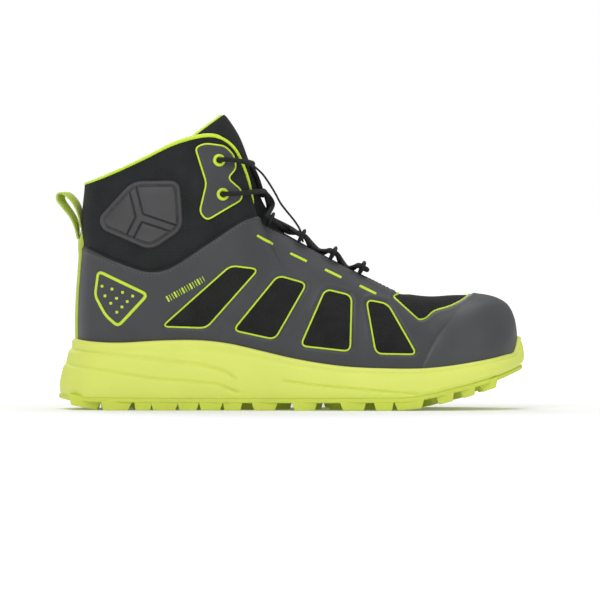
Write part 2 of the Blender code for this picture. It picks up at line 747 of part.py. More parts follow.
def inlay(name, cells, offsets, shape, side, finish_material, width=None):
    """The part of a surface layer inside a shape (corners, radius), or only a line of that width round it.
    offsets are the layer's low and high faces. side is 0 for a piece that crosses the ridge."""
    low, high = offsets
    made = layer(name, cells, flat(high), flat(low), finish_material)
    near, far = (side * 1.5, side * 90) if side else (-90, 90)
    boolean(made, prism(name + "_shape", outline(*shape), near, far), "INTERSECT")
    if width:
        boolean(made, prism(name + "_middle", outline(*shape, -width), near * 0.8, far * 1.1))
    return made


def side_cells(side, first, last, low_row, high_row):
    """Grid cells of one side, between two stations counted from the heel."""
    if side > 0:
        first, last = RING - last, RING - first
    return cells_between(first, last, low_row, high_row)


def make_overlay(side, word, colours):
    """The grey welded overlay of one side, with its windows, and the lime lines in them."""
    overlay = layer(
        f"overlay_{word}", side_cells(side, 0.0 if side < 0 else 0.5, 16, 0, BORDER_ROW), flat(OVERLAY + GAP),
        flat(GAP), colours["grey"],
    )
    for i, corners in enumerate(WINDOWS):
        hole = outline(corners, WINDOW_R, GAP)
        boolean(overlay, prism(f"hole_{word}_{i + 1}", hole, side * 1.5, side * 90))
        inlay(
            f"window_trim_{word}_{i + 1}", side_cells(side, 4.5, 14, 0, BORDER_ROW), (GAP, GAP + TRIM),
            (corners, WINDOW_R), side, colours["lime"], TRIM_WIDTH,
        )
    boolean(overlay, prism(f"vamp_hole_{word}", outline(VAMP_WINDOW, VAMP_R, GAP), side * -5, side * 90))
    boolean(overlay, prism(f"toe_end_{word}", grown(TOE_FRONT, GAP), side * -5, side * 90))
    return overlay


def make_upper(colours):
    black, lime = colours["textile"], colours["lime"]
    layer(
        "body_textile", cells_between(0, RING, 0, BORDER_ROW), flat(0), flat(-TEXTILE), black,
        shift=lambda station, row: 0.006 if row == BORDER_ROW and station < THROAT else 0,
    )
    thin = min(TEXTILE, COLLAR_THIN)
    collar = layer(
        "collar_panel", cells_between(-9, 9, BORDER_ROW, TOP_ROW), flat(0), flat(-thin), black,
        shift=lambda station, row: -0.006 if row == BORDER_ROW and station < THROAT else 0,
    )
    layer(
        "collar_foam", cells_between(-4, 4, BORDER_ROW, TOP_ROW), flat(-thin - GAP),
        lambda station, row: -pad_depth(station), colours["foam"],
    )
    overlays = [make_overlay(side, word, colours) for side, word in SIDES]
    guard = inlay(
        "toe_guard", cells_between(11, 23, 0, BORDER_ROW), (GAP, OVERLAY + GAP), (TOE_FRONT, 1), 0, colours["toe"]
    )
    boolean(guard, prism("toe_guard_vamp", outline(VAMP_WINDOW, VAMP_R, GAP), -100, 100))
    inlay(
        "vamp_trim", cells_between(10, 24, 2, BORDER_ROW), (GAP, GAP + TRIM), (VAMP_WINDOW, VAMP_R), 0, lime,
        TRIM_WIDTH,
    )
    low = OVERLAY + 2 * GAP
    stays = {}
    for side, word in SIDES:
        inlay(
            f"heel_trim_{word}", side_cells(side, 0, 4, 0, BORDER_ROW), (low, low + TRIM), (HEEL_PATCH, 7), side,
            lime, 2.2,
        )
        inlay(
            f"ankle_protector_{word}", side_cells(side, 0, 5, 6, TOP_ROW), (low, low + ANKLE_PAD_THICK),
            (ANKLE_PAD, 7), side, colours["toe"],
        )
        stays[side] = inlay(
            f"eyelet_stay_{word}", side_cells(side, 3, 9, BORDER_ROW, TOP_ROW), (GAP, GAP + STAY_THICK),
            (EYELET_STAY, 4), side, colours["grey"],
        )
    return collar, overlays, stays


def make_eyelets(tree, punched, stays, colours):
    frames = eyelet_frames(tree)
    drop = COLLAR_THIN + LINING + 3 * GAP
    top = STAY_THICK + 3 * GAP
    for name, centre, normal in frames:
        profile = (
            (EYELET_HOLE_R, top + 0.7), (EYELET_FLANGE_R, top + 0.7), (EYELET_FLANGE_R, top),
            (EYELET_BARREL_R, top), (EYELET_BARREL_R, -drop), (EYELET_HOLE_R, -drop),
        )
        revolve(name, profile, centre, normal, colours["grey"])
        hole = EYELET_BARREL_R + GAP
        bore = revolve(
            name + "_bore", ((hole, -drop - 5), (hole, top + 6)), centre, normal, None, closed=False
        )
        side = -1 if centre.y < 0 else 1
        for target in (*punched, stays[side]):
            boolean(target, bore)
    return frames


# ---- tongue ------------------------------------------------------------------------------------------
def ridge_point(station):
    """The tongue's ridge at a ring station."""
    rows = TONGUE_RIDGE
    if station >= rows[0][0]:
        return Vector((rows[0][1], 0, rows[0][2]))
    for i, (a, b) in enumerate(zip(rows, rows[1:])):
        if station >= b[0]:
            values = [Vector((x, 0, z)) for _, x, z in rows]
            return open_value(values, i + (a[0] - station) / (a[0] - b[0]))
    return Vector((rows[-1][1], 0, rows[-1][2]))


def wing_point(station, side, v, depth):
    """A point of the tongue's wing under the throat's edge, inside the upper by depth."""
    r = station if side < 0 else RING - station
    sideways = Vector((0.65, side * 0.75, 0.1))
    normal = last_normal(r, v).lerp(sideways, smoothstep(9.8, 8.8, station)).normalized()
    return last_point(r, v) - normal * depth


def tongue_row(station):
    """Points across the tongue's outside at a station, from the lateral wing to the medial one."""
    depth = lining_depth(station, BORDER_ROW) + LINING + GAP + TONGUE_CLEAR
    depth += LACE_ROOM * smoothstep(9.3, 8.3, station) if station > 8.3 else LACE_ROOM
    wings = []
    for side, _ in SIDES:
        wings.append([wing_point(station, side, v, depth) for v in (0.86, 0.93, 1.0)])
    route = [*wings[0], ridge_point(station), *reversed(wings[1])]
    return smooth_path(route, 2)


def tongue_solid(name, stations, finish_material):
    rows = [tongue_row(station) for station in stations]
    across = len(rows[0])
    bm = bmesh.new()
    outer, inner = [], []
    for i, row in enumerate(rows):
        outs, ins = [], []
        for j, point in enumerate(row):
            along = rows[min(i + 1, len(rows) - 1)][j] - rows[max(i - 1, 0)][j]
            over = row[min(j + 1, across - 1)] - row[max(j - 1, 0)]
            normal = along.cross(over).normalized()
            if normal.dot(point - Vector((point.x - 20, 0, point.z - 20))) < 0:
                normal.negate()
            edge = min(j, across - 1 - j) / (across // 2)
            thick = TONGUE_THICK * (0.35 + 0.65 * smoothstep(0, 0.6, edge))
            outs.append(bm.verts.new(point))
            ins.append(bm.verts.new(point - normal * thick))
        outer.append(outs)
        inner.append(ins)
    for i in range(len(rows) - 1):
        for j in range(across - 1):
            for grid in (outer, inner):
                bm.faces.new((grid[i][j], grid[i + 1][j], grid[i + 1][j + 1], grid[i][j + 1]))
        for j in (0, across - 1):
            bm.faces.new((outer[i][j], outer[i + 1][j], inner[i + 1][j], inner[i][j]))
    for i in (0, len(rows) - 1):
        for j in range(across - 1):
            bm.faces.new((outer[i][j], outer[i][j + 1], inner[i][j + 1], inner[i][j]))
    return finish(name, bm, finish_material)


def make_tongue(colours):
    low = [12.6 - 0.532 * i for i in range(11)]
    tongue = tongue_solid("tongue", low, colours["textile"])
    tab = tongue_solid("tongue_tab", [TAB_STATION, 6.0, 5.6, 5.2, 4.9, 4.7], colours["textile"])
    pivot = ridge_point(TAB_STATION)
    pivot -= Vector((2.0, 0, 3.0))
    for vertex in tab.data.vertices:
        vertex.co -= pivot * 0.001
    tab.location = pivot * 0.001
    centres = smooth_path([(x, 0, z) for x, z in KEEPER], 2)
    ribbon("tongue_keeper", centres, KEEPER_HALF_WIDTH, KEEPER_THICK, colours["textile"])
    return tongue, tab, pivot


# ---- lacing ------------------------------------------------------------------------------------------
def throat_frame(station, side):
    """On the throat's edge: the point, the direction towards the toe, and up and away from the edge."""
    r = station if side < 0 else RING - station
    step = 0.05 if side < 0 else -0.05
    point = last_point(r, 1)
    along = (last_point(r + step, 1) - last_point(r - step, 1)).normalized()
    flat_along = Vector((along.x, 0, along.z)).normalized()
    return point, along, Vector((-flat_along.z, 0, flat_along.x))


def loop_centre(index, side):
    point, along, up = throat_frame(LOOP_STATIONS[index], side)
    return point + up * LOOP_LIFT + Vector((0, side, 0)), along, up


def make_lace_loops(finish_material):
    for side, word in SIDES:
        for index in range(len(LOOP_STATIONS)):
            centre, along, up = loop_centre(index, side)
            cross = along.cross(up).normalized()
            points = []
            for i in range(LOOP_POINTS):
                angle = 2 * math.pi * i / LOOP_POINTS
                points.append(centre + (up * math.cos(angle) + cross * math.sin(angle)) * LOOP_R)
            tube(f"lace_loop_{word}_{index + 1}", points, LOOP_TUBE_R, finish_material, cyclic=True, resolution=1)


def crossing(station, lift):
    """The lace's centre where a strand crosses the tongue's ridge."""
    ridge = ridge_point(station)
    ahead = ridge_point(station + 0.1) - ridge_point(station - 0.1)
    up = Vector((-ahead.z, 0, ahead.x)).normalized()
    return ridge + up * (LACE_R + 0.5 + lift)


def through_loop(index, side):
    centre, along, _ = loop_centre(index, side)
    return [centre - along * 3.2, centre, centre + along * 3.2]


def strand(first_side, over_first):
    """Half of the lace, from the first side's upper eyelets down to the bottom bar: routes by stretch."""
    points = []
    side = -first_side
    over = over_first
    lift = 2 * LACE_R + 0.5
    stations = (9.05, *((a + b) / 2 for a, b in zip(LOOP_STATIONS, LOOP_STATIONS[1:])))
    for index, station in enumerate(stations):
        points.append(crossing(station, lift if over else 0))
        points.extend(through_loop(index, side))
        side = -side
        over = not over
    return points


def over_edge(station, side):
    """Where the lace passes round the collar's front edge."""
    r = station if side < 0 else RING - station
    return offset_point(r, 1, 4.4) + Vector((2.0, 0, 0.5))


def eyelet_run(frames, side):
    """From the tail under the keeper, through both eyelets of one side, to the front of the collar."""
    lower, upper = [frame for frame in frames if frame[1].y * side > 0]
    forward = Vector((1, 0, 0))
    tail_y = side * 2.1
    tails = []
    for station in (8.6, 8.15, 7.7):
        point = crossing(station, 0)
        tails.append(Vector((point.x, tail_y, point.z)))
    _, high, high_normal = upper
    _, low, low_normal = lower
    inside = COLLAR_THIN + LINING + GAP + 2.6
    return [
        *tails,
        Vector((-25.5, side * 9, 159.5)),
        over_edge(6.75, side),
        high + high_normal * 5.2 + forward * 7,
        high + high_normal * 4.6 + forward * 1.2,
        high + high_normal * 2.0,
        high - high_normal * 1.2,
        high - high_normal * 4.0,
        high - high_normal * (inside - 0.2) + (low - high).normalized() * 2.0,
        low - low_normal * (inside - 0.2) + (high - low).normalized() * 2.0,
        low - low_normal * 4.0,
        low - low_normal * 1.2,
        low + low_normal * 2.0,
        low + low_normal * 4.6 + forward * 1.2,
        low + low_normal * 5.2 + forward * 8,
        over_edge(7.8, side),
        Vector((-16.5, side * 10, 142)),
    ]


def make_lace(frames, obstacles, finish_material):
    lateral = eyelet_run(frames, -1) + strand(-1, False)
    medial = eyelet_run(frames, 1) + strand(1, True)
    route = lateral + list(reversed(medial))
    path = smooth_path(route, 2)
    for i, point in enumerate(path):
        from_end = min(i, len(path) - 1 - i) / 2
        if INNER_RUN[0] < from_end < INNER_RUN[1]:
            continue
        for tree in obstacles:
            hit, normal, _, distance = tree.find_nearest(point)
            away = point - hit
            buried = away.dot(normal) < -0.7 * distance and distance < 9
            if buried or distance < LACE_R + 0.5:
                point = hit + (normal if buried else away.normalized()) * (LACE_R + 0.5)
        path[i] = point
    tube("lace", path, LACE_R, finish_material)


# ---- edges and heel ----------------------------------------------------------------------------------
def make_piping(finish_material):
    """Lime edging that stands on the collar's top edge."""
    bm = bmesh.new()
    rings = []
    columns = range(-2 * 5 - 1, 2 * 5 + 2)
    for k in columns:
        outer = grid_point(k % COLUMNS, TOP_ROW, 0)
        inner = grid_point(k % COLUMNS, TOP_ROW, -pad_depth(column_station(k)) - GAP - LINING)
        rise = Vector((0, 0, 1))
        rings.append([
            bm.verts.new(outer + rise * GAP), bm.verts.new(outer + rise * 2.2), bm.verts.new(inner + rise * 2.2),
            bm.verts.new(inner + rise * GAP),
        ])
    for a, b in zip(rings, rings[1:]):
        for j in range(4):
            bm.faces.new((a[j], b[j], b[(j + 1) % 4], a[(j + 1) % 4]))
    bm.faces.new(rings[0])
    bm.faces.new(list(reversed(rings[-1])))
    return finish("collar_piping", bm, finish_material)


def make_heel(colours):
    low = OVERLAY + 2 * GAP
    strip = layer(
        "heel_strip", cells_between(-1, 1, RIM_ROWS, BORDER_ROW), flat(low + WEBBING), flat(low), colours["lime"],
        shift=lambda station, row: -0.006 if row == RIM_ROWS else 0,
    )
    boolean(strip, prism("heel_strip_shape", ((-160, 40), (-100, 40), (-100, 111), (-160, 111)), -9, 9), "INTERSECT")
    centres = smooth_path([(x, 0, z) for x, z in PULL_LOOP], 2)
    loop = ribbon("pull_loop", centres, PULL_HALF_WIDTH, WEBBING, colours["lime"])
    pivot = Vector((PULL_HINGE[0], 0, PULL_HINGE[1])) * 0.001
    for vertex in loop.data.vertices:
        vertex.co -= pivot
    loop.location = pivot


def main():
    for obj in list(bpy.data.objects):
        bpy.data.objects.remove(obj)
    colours = {
        "lime": material("lime_rubber", LIME, 0.55),
        "mesh": material("lime_mesh", (0.5, 0.66, 0.08), 0.9),
        "grey": material("grey_overlay", GREY, 0.5),
        "toe": material("grey_rubber", (0.07, 0.07, 0.073), 0.55),
        "textile": material("black_textile", BLACK, 0.9),
        "foam": material("black_foam", (0.03, 0.03, 0.03), 0.95),
        "board": material("white_board", (0.6, 0.6, 0.56), 0.8),
        "steel": material("grey_composite", (0.2, 0.2, 0.21), 0.45),
    }
    make_midsole(colours["lime"])
    make_outsole(colours["lime"])
    lining = make_insides(colours)
    collar, overlays, stays = make_upper(colours)
    collar_tree = outer_tree(collar)
    frames = make_eyelets(collar_tree, (collar, lining), stays, colours)
    tongue, tab, pivot = make_tongue(colours)
    make_lace_loops(colours["textile"])
    obstacles = [outer_tree(tongue), *map(outer_tree, overlays), collar_tree]
    make_lace(frames, obstacles, colours["textile"])
    make_piping(colours["lime"])
    make_heel(colours)


main()
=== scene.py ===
"""Looks for a mid-height lace-up boot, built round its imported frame. Tables are in millimetres in the
frame's axes: +X towards the toe, +Y towards the inner side of the foot, +Z up."""

import math

import bmesh
import bpy
import numpy as np
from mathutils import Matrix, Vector
from mathutils.bvhtree import BVHTree


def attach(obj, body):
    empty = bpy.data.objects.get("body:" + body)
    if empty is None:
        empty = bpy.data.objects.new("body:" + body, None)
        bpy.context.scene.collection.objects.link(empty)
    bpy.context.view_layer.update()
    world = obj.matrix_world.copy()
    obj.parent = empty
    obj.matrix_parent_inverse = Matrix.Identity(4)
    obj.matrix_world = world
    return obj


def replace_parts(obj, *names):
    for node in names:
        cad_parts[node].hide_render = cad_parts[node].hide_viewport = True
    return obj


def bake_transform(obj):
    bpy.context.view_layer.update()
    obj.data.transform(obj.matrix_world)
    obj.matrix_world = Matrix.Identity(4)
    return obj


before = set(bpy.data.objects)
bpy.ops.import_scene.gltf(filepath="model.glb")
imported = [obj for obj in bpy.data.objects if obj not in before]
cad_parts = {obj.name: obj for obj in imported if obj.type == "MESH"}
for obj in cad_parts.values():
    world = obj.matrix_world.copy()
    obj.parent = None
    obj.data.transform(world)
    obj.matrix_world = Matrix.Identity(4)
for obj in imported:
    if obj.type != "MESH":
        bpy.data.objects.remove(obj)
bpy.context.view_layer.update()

# ---- driving dimensions ------------------------------------------------------------------------------
GAP = 0.3  # clearance kept between neighbouring pieces
TEXTILE = 1.3  # black base textile
OVERLAY = 1.2  # grey welded overlay
LINING = 1.1  # lime mesh lining
STIFFENER = 2.0  # toe cap and heel counter
COLLAR_PAD = 7.0  # collar panel with its foam, round the heel
COLLAR_THIN = 2.0  # the same panel under the eyelets
SOLE_LIP = 2.2  # thickness of the sole's wall at its rim
WALL = OVERLAY + 2 * GAP  # the sole's wall stands outside the overlay
OUTSOLE_PLATE = 2.5
LUG = 5.5  # height of a lug under the plate
LACE_R = 1.5

# One row for each station, from the back of the heel to the tip of the toe:
# lateral foot x, y; medial foot x, y; top line x, centre y, half gap, z; rise and flare of the line
# where it leaves the board; and the pull that shapes it where it meets the top line (x, outwards, z).
STATIONS = (
    (-138.5, 0, -138.5, 0, -133, 0, 0, 148, 36, 4.0, (-1.5, 0, -34)),
    (-132, -20, -132, 19, -128, 0, 18, 150, 36, 4.0, (-1, 3, -34)),
    (-114, -31, -114, 30, -114, 0, 30, 156.5, 36, 4.0, (0, 4, -36)),
    (-90, -34, -90, 32, -95, 0, 36, 165.5, 36, 4.0, (0, 4, -40)),
    (-65, -34.5, -65, 31, -74, 0, 37, 175.5, 34, 4.0, (0, 5, -42)),
    (-42, -35.5, -42, 30.5, -52, 0, 34, 180, 32, 4.5, (1, 7, -42)),
    (-20, -38, -22, 31.5, -38, 0, 31.5, 173, 30, 4.5, (3, 7, -38)),
    (0, -41, -4, 34.5, -29.5, 0, 28.5, 156, 28, 4.5, (4, 7, -32)),
    (18, -44, 14, 39, -25.5, 0, 26, 139, 26, 4.5, (6, 8.5, -26)),
    (35, -46.5, 32, 43, -23, 0, 23.5, 125, 25, 4.5, (9, 11, -20)),
    (52, -48.5, 50, 46, -1, 0, 20.5, 112, 23, 4.0, (10, 14.5, -12)),
    (68, -49, 68, 47.5, 29, 0, 16.5, 95.5, 22, 4.0, (12, 17.5, -7)),
    (84, -48, 86, 47, 53, 0, 12, 83.5, 24, 4.0, (12, 22, -4)),
    (100, -45.5, 103, 44.5, 66, 0, 0, 77, 29, 4.0, (12, 30, -1)),
    (115, -40.5, 118.5, 39.5, 76, 0, 0, 74.5, 33, 4.0, (14, 32, 0)),
    (129, -31.5, 132, 31.5, 90, 1, 0, 73, 37, 4.0, (18, 31, 0)),
    (140.5, -15.5, 142, 19, 104, 2, 0, 74, 39, 3.5, (24, 22, 0)),
    (145.5, 3, 145.5, 3, 116, 3, 0, 75.2, 39, 2.5, (27, 0, 0)),
)
TIP = len(STATIONS) - 1
RING = 2 * TIP  # ring length: 0 is the heel, TIP the toe, and back along the medial side
RIDGE = 13  # from this station on, the two sides meet on the vamp's ridge
THROAT = 9  # the collar ends and the lacing edge begins
CORNER, CORNER_ROOM = 9.2, 1.5  # extra depth for the lining where the collar's edge turns into the throat's

# Heights along the boot, as (x, z)
BOARD_LINE = ((-150, 34), (-100, 33), (-60, 31), (-25, 27), (10, 22.5), (45, 19.5), (85, 19.5), (115, 22), (150, 28))
RIM_LINE = (
    (-150, 49), (-139, 46.5), (-128, 45), (-112, 44.5), (-85, 46), (-60, 46.2), (-40, 44), (-20, 39.5), (0, 34.8),
    (20, 31.2), (40, 28.8), (65, 27.6), (85, 27.6), (100, 28.8), (115, 31), (130, 33.8), (140, 36.4),
    (143.6, 38), (145.4, 44), (146.4, 50), (150, 52),
)
PLATE_LINE = (
    (-152, 13), (-142, 8), (-128, 5.5), (72, 5.5), (88, 7.5), (105, 11.5), (120, 15.5), (135, 20.5), (152, 28.5),
)
OVERLAY_TOP = (
    (-150, 112), (-135, 107), (-120, 100), (-103, 93.5), (-93, 91), (-83, 92), (-73, 97), (-59.5, 106), (-48, 113.5),
    (-37, 121), (-30, 125), (-22, 127),
)
TOE_GUARD_REAR = ((82, 15), (86.5, 30), (91, 39), (95.5, 47), (101, 54), (107, 61), (113, 69), (124, 84))

# Outlines seen from the side, as (x, z) corners
WINDOWS = (
    ((-85.5, 54.5), (-39.5, 95.5), (-20, 93), (-55, 53.5)),
    ((-38.5, 52.2), (-8.5, 89), (11.3, 83.3), (-10, 46)),
    ((5.8, 42), (22.5, 80), (40.5, 75.5), (39.6, 38.3)),
    ((55.5, 36.8), (49, 73), (64, 70), (83.5, 36.3)),
)
VAMP_WINDOW = (
    (66, 74.5), (84, 58.5), (89, 59.5), (94, 64.5), (104, 67), (112, 70.5), (120, 76), (118, 90), (72, 90), (74, 77.5),
)
WINDOW_R, VAMP_R = 5, 3  # corner radii
TOE_FRONT = (*TOE_GUARD_REAR, (170, 84), (170, 15))
EYELET_STAY = (
    (-63, 172.5), (-56, 175.3), (-43, 173.5), (-37, 167), (-35.5, 158.5), (-41, 152.3), (-32.2, 144.5), (-31.8, 138),
    (-55, 124.3), (-60, 130), (-55.5, 149),
)
EYELETS = ((-44.5, 141.7), (-47, 163.9))

# The tongue's ridge as (ring station, x, z), from its root under the vamp to its top edge
TONGUE_RIDGE = (
    (12.6, 61, 74.5), (12, 50, 80), (11, 29, 91.5), (10, 0, 111), (9, -17, 133), (8, -22.5, 147), (7, -27.5, 162),
    (6, -34, 179), (5.2, -42, 191.5), (4.7, -45, 193.5),
)
TONGUE_THICK = 4.5
LOOP_STATIONS = (9.4, 10.2, 10.87, 11.6)
LOOP_LIFT = 6.2
LOOP_R = 3.5
TONGUE_CLEAR = 2.2
INNER_RUN = (6.4, 14.6)  # route points of the lace's run through and behind the eyelets
LACE_ROOM = 4.2  # depth under the eyelets for the lace's inner run

KEEPER = (
    (-24.2, 160), (-18.4, 154.6), (-13.6, 147.8), (-10, 141.8), (-6.6, 135.5), (-2, 129.5), (2.6, 123.8), (6.4, 117.5),
    (8.2, 109.8),
)
KEEPER_HALF_WIDTH, KEEPER_THICK = 6.0, 0.9
PULL_LOOP = (
    (-139.9, 111.8), (-140.8, 119.5), (-143, 126), (-147.6, 132.5), (-151.2, 137.5), (-151.2, 141.2), (-148, 142),
    (-143.6, 138.6), (-140, 133), (-138.3, 126), (-138.0, 119.5),
)
PULL_HALF_WIDTH = 7.5
# Lugs along each side: x, length, lean
SIDE_LUGS = (
    (-136, 12, -2), (-119, 13, -2), (-102, 12, -2), (-85, 12, -1), (-68, 12, 0), (-50, 12, 0), (-31, 13, 0),
    (-12, 13, 1), (8, 13, 1), (28, 13, 2), (48, 13, 2), (68, 13, 3), (88, 13, 3), (107, 12, 3), (124, 11, 3),
)
SIDES = ((-1, "lateral"), (1, "medial"))


# ---- splines and small geometry ----------------------------------------------------------------------
def catmull(p0, p1, p2, p3, t):
    return 0.5 * (2 * p1 + (p2 - p0) * t + (2 * p0 - 5 * p1 + 4 * p2 - p3) * t * t + (3 * (p1 - p2) + p3 - p0) * t ** 3)


def ring_value(values, r):
    """A smooth closed curve through values, one for each whole number of r."""
    count = len(values)
    i = math.floor(r)
    return catmull(*(values[(i + k) % count] for k in (-1, 0, 1, 2)), r - i)


def open_value(values, s):
    """A smooth open curve through values, one for each whole number of s."""
    last = len(values) - 1
    i = min(max(math.floor(s), 0), last - 1)
    ends = [values[min(max(i + k, 0), last)] for k in (-1, 0, 1, 2)]
    return catmull(*ends, s - i)


def line_heights(line, xs):
    """z at each x on a line of (x, z) points, as a cubic with finite-difference slopes."""
    px, pz = np.array(line, float).T
    last = len(line) - 1
    before, after = np.maximum(np.arange(last + 1) - 1, 0), np.minimum(np.arange(last + 1) + 1, last)
    slopes = (pz[after] - pz[before]) / (px[after] - px[before])
    i = np.clip(np.searchsorted(px, xs, side="right") - 1, 0, last - 1)
    w = px[i + 1] - px[i]
    t = np.clip((xs - px[i]) / w, 0, 1)
    return (
        (2 * t ** 3 - 3 * t * t + 1) * pz[i] + (t ** 3 - 2 * t * t + t) * w * slopes[i]
        + (3 * t * t - 2 * t ** 3) * pz[i + 1] + (t ** 3 - t * t) * w * slopes[i + 1]
    )


def height(line, x):
    return float(line_heights(line, x))


def ss(low, high, values):
    """A smooth step from 0 to 1 between low and high, for an array."""
    t = np.clip((np.asarray(values, float) - low) / (high - low), 0, 1)
    return t * t * (3 - 2 * t)


def smoothstep(low, high, value):
    """ss() for one number."""
    return float(ss(low, high, value))


def rounded(corners, radius, steps=6):
    """A closed outline with each corner turned into an arc of steps chords."""
    points = []
    count = len(corners)
    for i, corner in enumerate(corners):
        here = Vector(corner)
        before = Vector(corners[i - 1]) - here
        after = Vector(corners[(i + 1) % count]) - here
        reach = min(radius, before.length * 0.45, after.length * 0.45)
        a, b = here + before.normalized() * reach, here + after.normalized() * reach
        for k in range(steps + 1):
            t = k / steps
            points.append((1 - t) ** 2 * a + 2 * t * (1 - t) * here + t * t * b)
    return points


def grown(corners, distance):
    """The outline moved outwards by distance, or inwards if that is negative, with its corners kept sharp."""
    count = len(corners)
    area = sum(corners[i - 1][0] * corners[i][1] - corners[i][0] * corners[i - 1][1] for i in range(count))
    turn = 1 if area > 0 else -1
    moved = []
    for i, corner in enumerate(corners):
        here = Vector(corner)
        before = (here - Vector(corners[i - 1])).normalized()
        after = (Vector(corners[(i + 1) % count]) - here).normalized()
        normals = [Vector((edge.y, -edge.x)) * turn for edge in (before, after)]
        miter = (normals[0] + normals[1]).normalized()
        moved.append(here + miter * distance / max(miter.dot(normals[0]), 0.4))
    return moved


def outline(corners, radius, distance=0.0):
    """A rounded outline, grown by distance."""
    return rounded(grown(corners, distance), max(radius + distance, 0.8))


# ---- the last surface --------------------------------------------------------------------------------
def ring_rows(lateral_row, medial_row):
    """Values round the whole ring: the lateral stations out, and the medial ones back."""
    return [lateral_row(s) for s in STATIONS] + [medial_row(s) for s in reversed(STATIONS[1:-1])]


FEET = ring_rows(lambda s: Vector((s[0], s[1], 0)), lambda s: Vector((s[2], s[3], 0)))
TOPS = ring_rows(lambda s: Vector((s[4], s[5], s[7])), lambda s: Vector((s[4], s[5], s[7])))
HALF_GAPS = ring_rows(lambda s: -s[6], lambda s: s[6])
RISES = ring_rows(lambda s: s[8], lambda s: s[8])
FLARES = ring_rows(lambda s: s[9], lambda s: s[9])
PULLS = ring_rows(
    lambda s: Vector((s[10][0], -s[10][1], s[10][2])), lambda s: Vector((s[10][0], s[10][1], s[10][2]))
)


def side_of(r):
    """-1 on the lateral half of the ring, +1 on the medial half."""
    return -1 if r % RING <= TIP else 1


def station_of(r):
    r = r % RING
    return r if r <= TIP else RING - r


def last_line(r):
    """The four Bezier points of the line that climbs the last at r."""
    foot = ring_value(FEET, r)
    foot.z = height(BOARD_LINE, foot.x)
    ahead = ring_value(FEET, r + 0.05) - ring_value(FEET, r - 0.05)
    outward = Vector((ahead.y, -ahead.x, 0)).normalized()
    top = ring_value(TOPS, r)
    gap = ring_value(HALF_GAPS, r)
    top.y += side_of(r) * max(side_of(r) * gap, 0) if station_of(r) < RIDGE else 0
    rise = Vector((0, 0, ring_value(RISES, r))) + outward * ring_value(FLARES, r)
    return foot, foot + rise, top + ring_value(PULLS, r), top


def last_point(r, v):
    a, b, c, d = last_line(r)
    return a * (1 - v) ** 3 + b * 3 * v * (1 - v) ** 2 + c * 3 * v * v * (1 - v) + d * v ** 3


def last_normal(r, v):
    step = 0.02
    low, high = max(v - step, 0), min(v + step, 1)
    across = last_point(r + step, v) - last_point(r - step, v)
    up = last_point(r, high) - last_point(r, low)
    return across.cross(up).normalized()


def offset_point(r, v, distance):
    """The last's point moved out by distance. On the ridge both sides give the same point."""
    if v > 0.999 and station_of(r) >= RIDGE:
        near = 0.96
        normal = (last_normal(r, near) + last_normal(RING - r, near)).normalized()
    else:
        normal = last_normal(r, v)
    return last_point(r, v) + normal * distance


def rim_v(r):
    """The v at which the line at r crosses the sole's rim, by bisection."""
    low, high = 0.0, 1.0
    for _ in range(24):
        middle = (low + high) / 2
        point = last_point(r, middle)
        low, high = (middle, high) if point.z < height(RIM_LINE, point.x) else (low, middle)
    return low


def pad_depth(station):
    """Thickness of the collar with its foam: thick round the heel, thin under the eyelets."""
    return COLLAR_PAD + (COLLAR_THIN - COLLAR_PAD) * ss(3.0, 5.0, station)


def lining_depths(station):
    """How far the lining lies under the last's surface: below the collar, and inside the collar."""
    under = TEXTILE + 4 * GAP + CORNER_ROOM * np.maximum(1 - np.abs(station - CORNER) / 2, 0)
    stiff = under + (STIFFENER + GAP) * np.maximum(ss(12, 13.5, station), 1 - ss(4.5, 6.0, station))
    return stiff, np.maximum(pad_depth(station) + GAP, under)


def ring_at(station, side):
    """The ring position of a station on one side."""
    return station if side < 0 else RING - station


# ---- the last surface as dense arrays ----------------------------------------------------------------
FINE = 22  # columns between two stations
ACROSS = 128  # rows from the board to the top line
KCOLS = RING * FINE
FAR = 1e9
MM = 0.001


def ring_array(values, r):
    """ring_value() for an array of r."""
    table = np.array([list(v) if hasattr(v, "__len__") else [v] for v in values], float)
    count = len(table)
    i = np.floor(r).astype(int)
    t = (r - i)[:, None]
    p0, p1, p2, p3 = (table[(i + k) % count] for k in (-1, 0, 1, 2))
    return 0.5 * (2 * p1 + (p2 - p0) * t + (2 * p0 - 5 * p1 + 4 * p2 - p3) * t * t + (3 * (p1 - p2) + p3 - p0) * t ** 3)


def last_lines(r):
    """The Bezier points of last_line() for an array of r, and the stations."""
    foot = ring_array(FEET, r)
    foot[:, 2] = line_heights(BOARD_LINE, foot[:, 0])
    ahead = ring_array(FEET, r + 0.05) - ring_array(FEET, r - 0.05)
    outward = np.stack([ahead[:, 1], -ahead[:, 0], np.zeros(len(r))], 1)
    outward /= np.linalg.norm(outward, axis=1, keepdims=True)
    top = ring_array(TOPS, r)
    station = np.where(r % RING <= TIP, r % RING, RING - r % RING)
    side = np.where(r % RING <= TIP, -1.0, 1.0)
    gap = ring_array(HALF_GAPS, r)[:, 0]
    top[:, 1] += np.where(station < RIDGE, side * np.maximum(side * gap, 0), 0)
    rise = outward * ring_array(FLARES, r)
    rise[:, 2] += ring_array(RISES, r)[:, 0]
    return (foot, foot + rise, top + ring_array(PULLS, r), top), station


def bezier(points, v):
    a, b, c, d = points
    v = np.asarray(v)[..., None]
    return a * (1 - v) ** 3 + b * 3 * v * (1 - v) ** 2 + c * 3 * v * v * (1 - v) + d * v ** 3


def trimmed(data, triangles, names=()):
    """A skin without collapsed triangles and unused points."""
    good = (triangles != np.roll(triangles, 1, 1)).all(1)
    used, index = np.unique(triangles[good], return_inverse=True)
    return Skin(data[used], index.reshape(-1, 3), names)


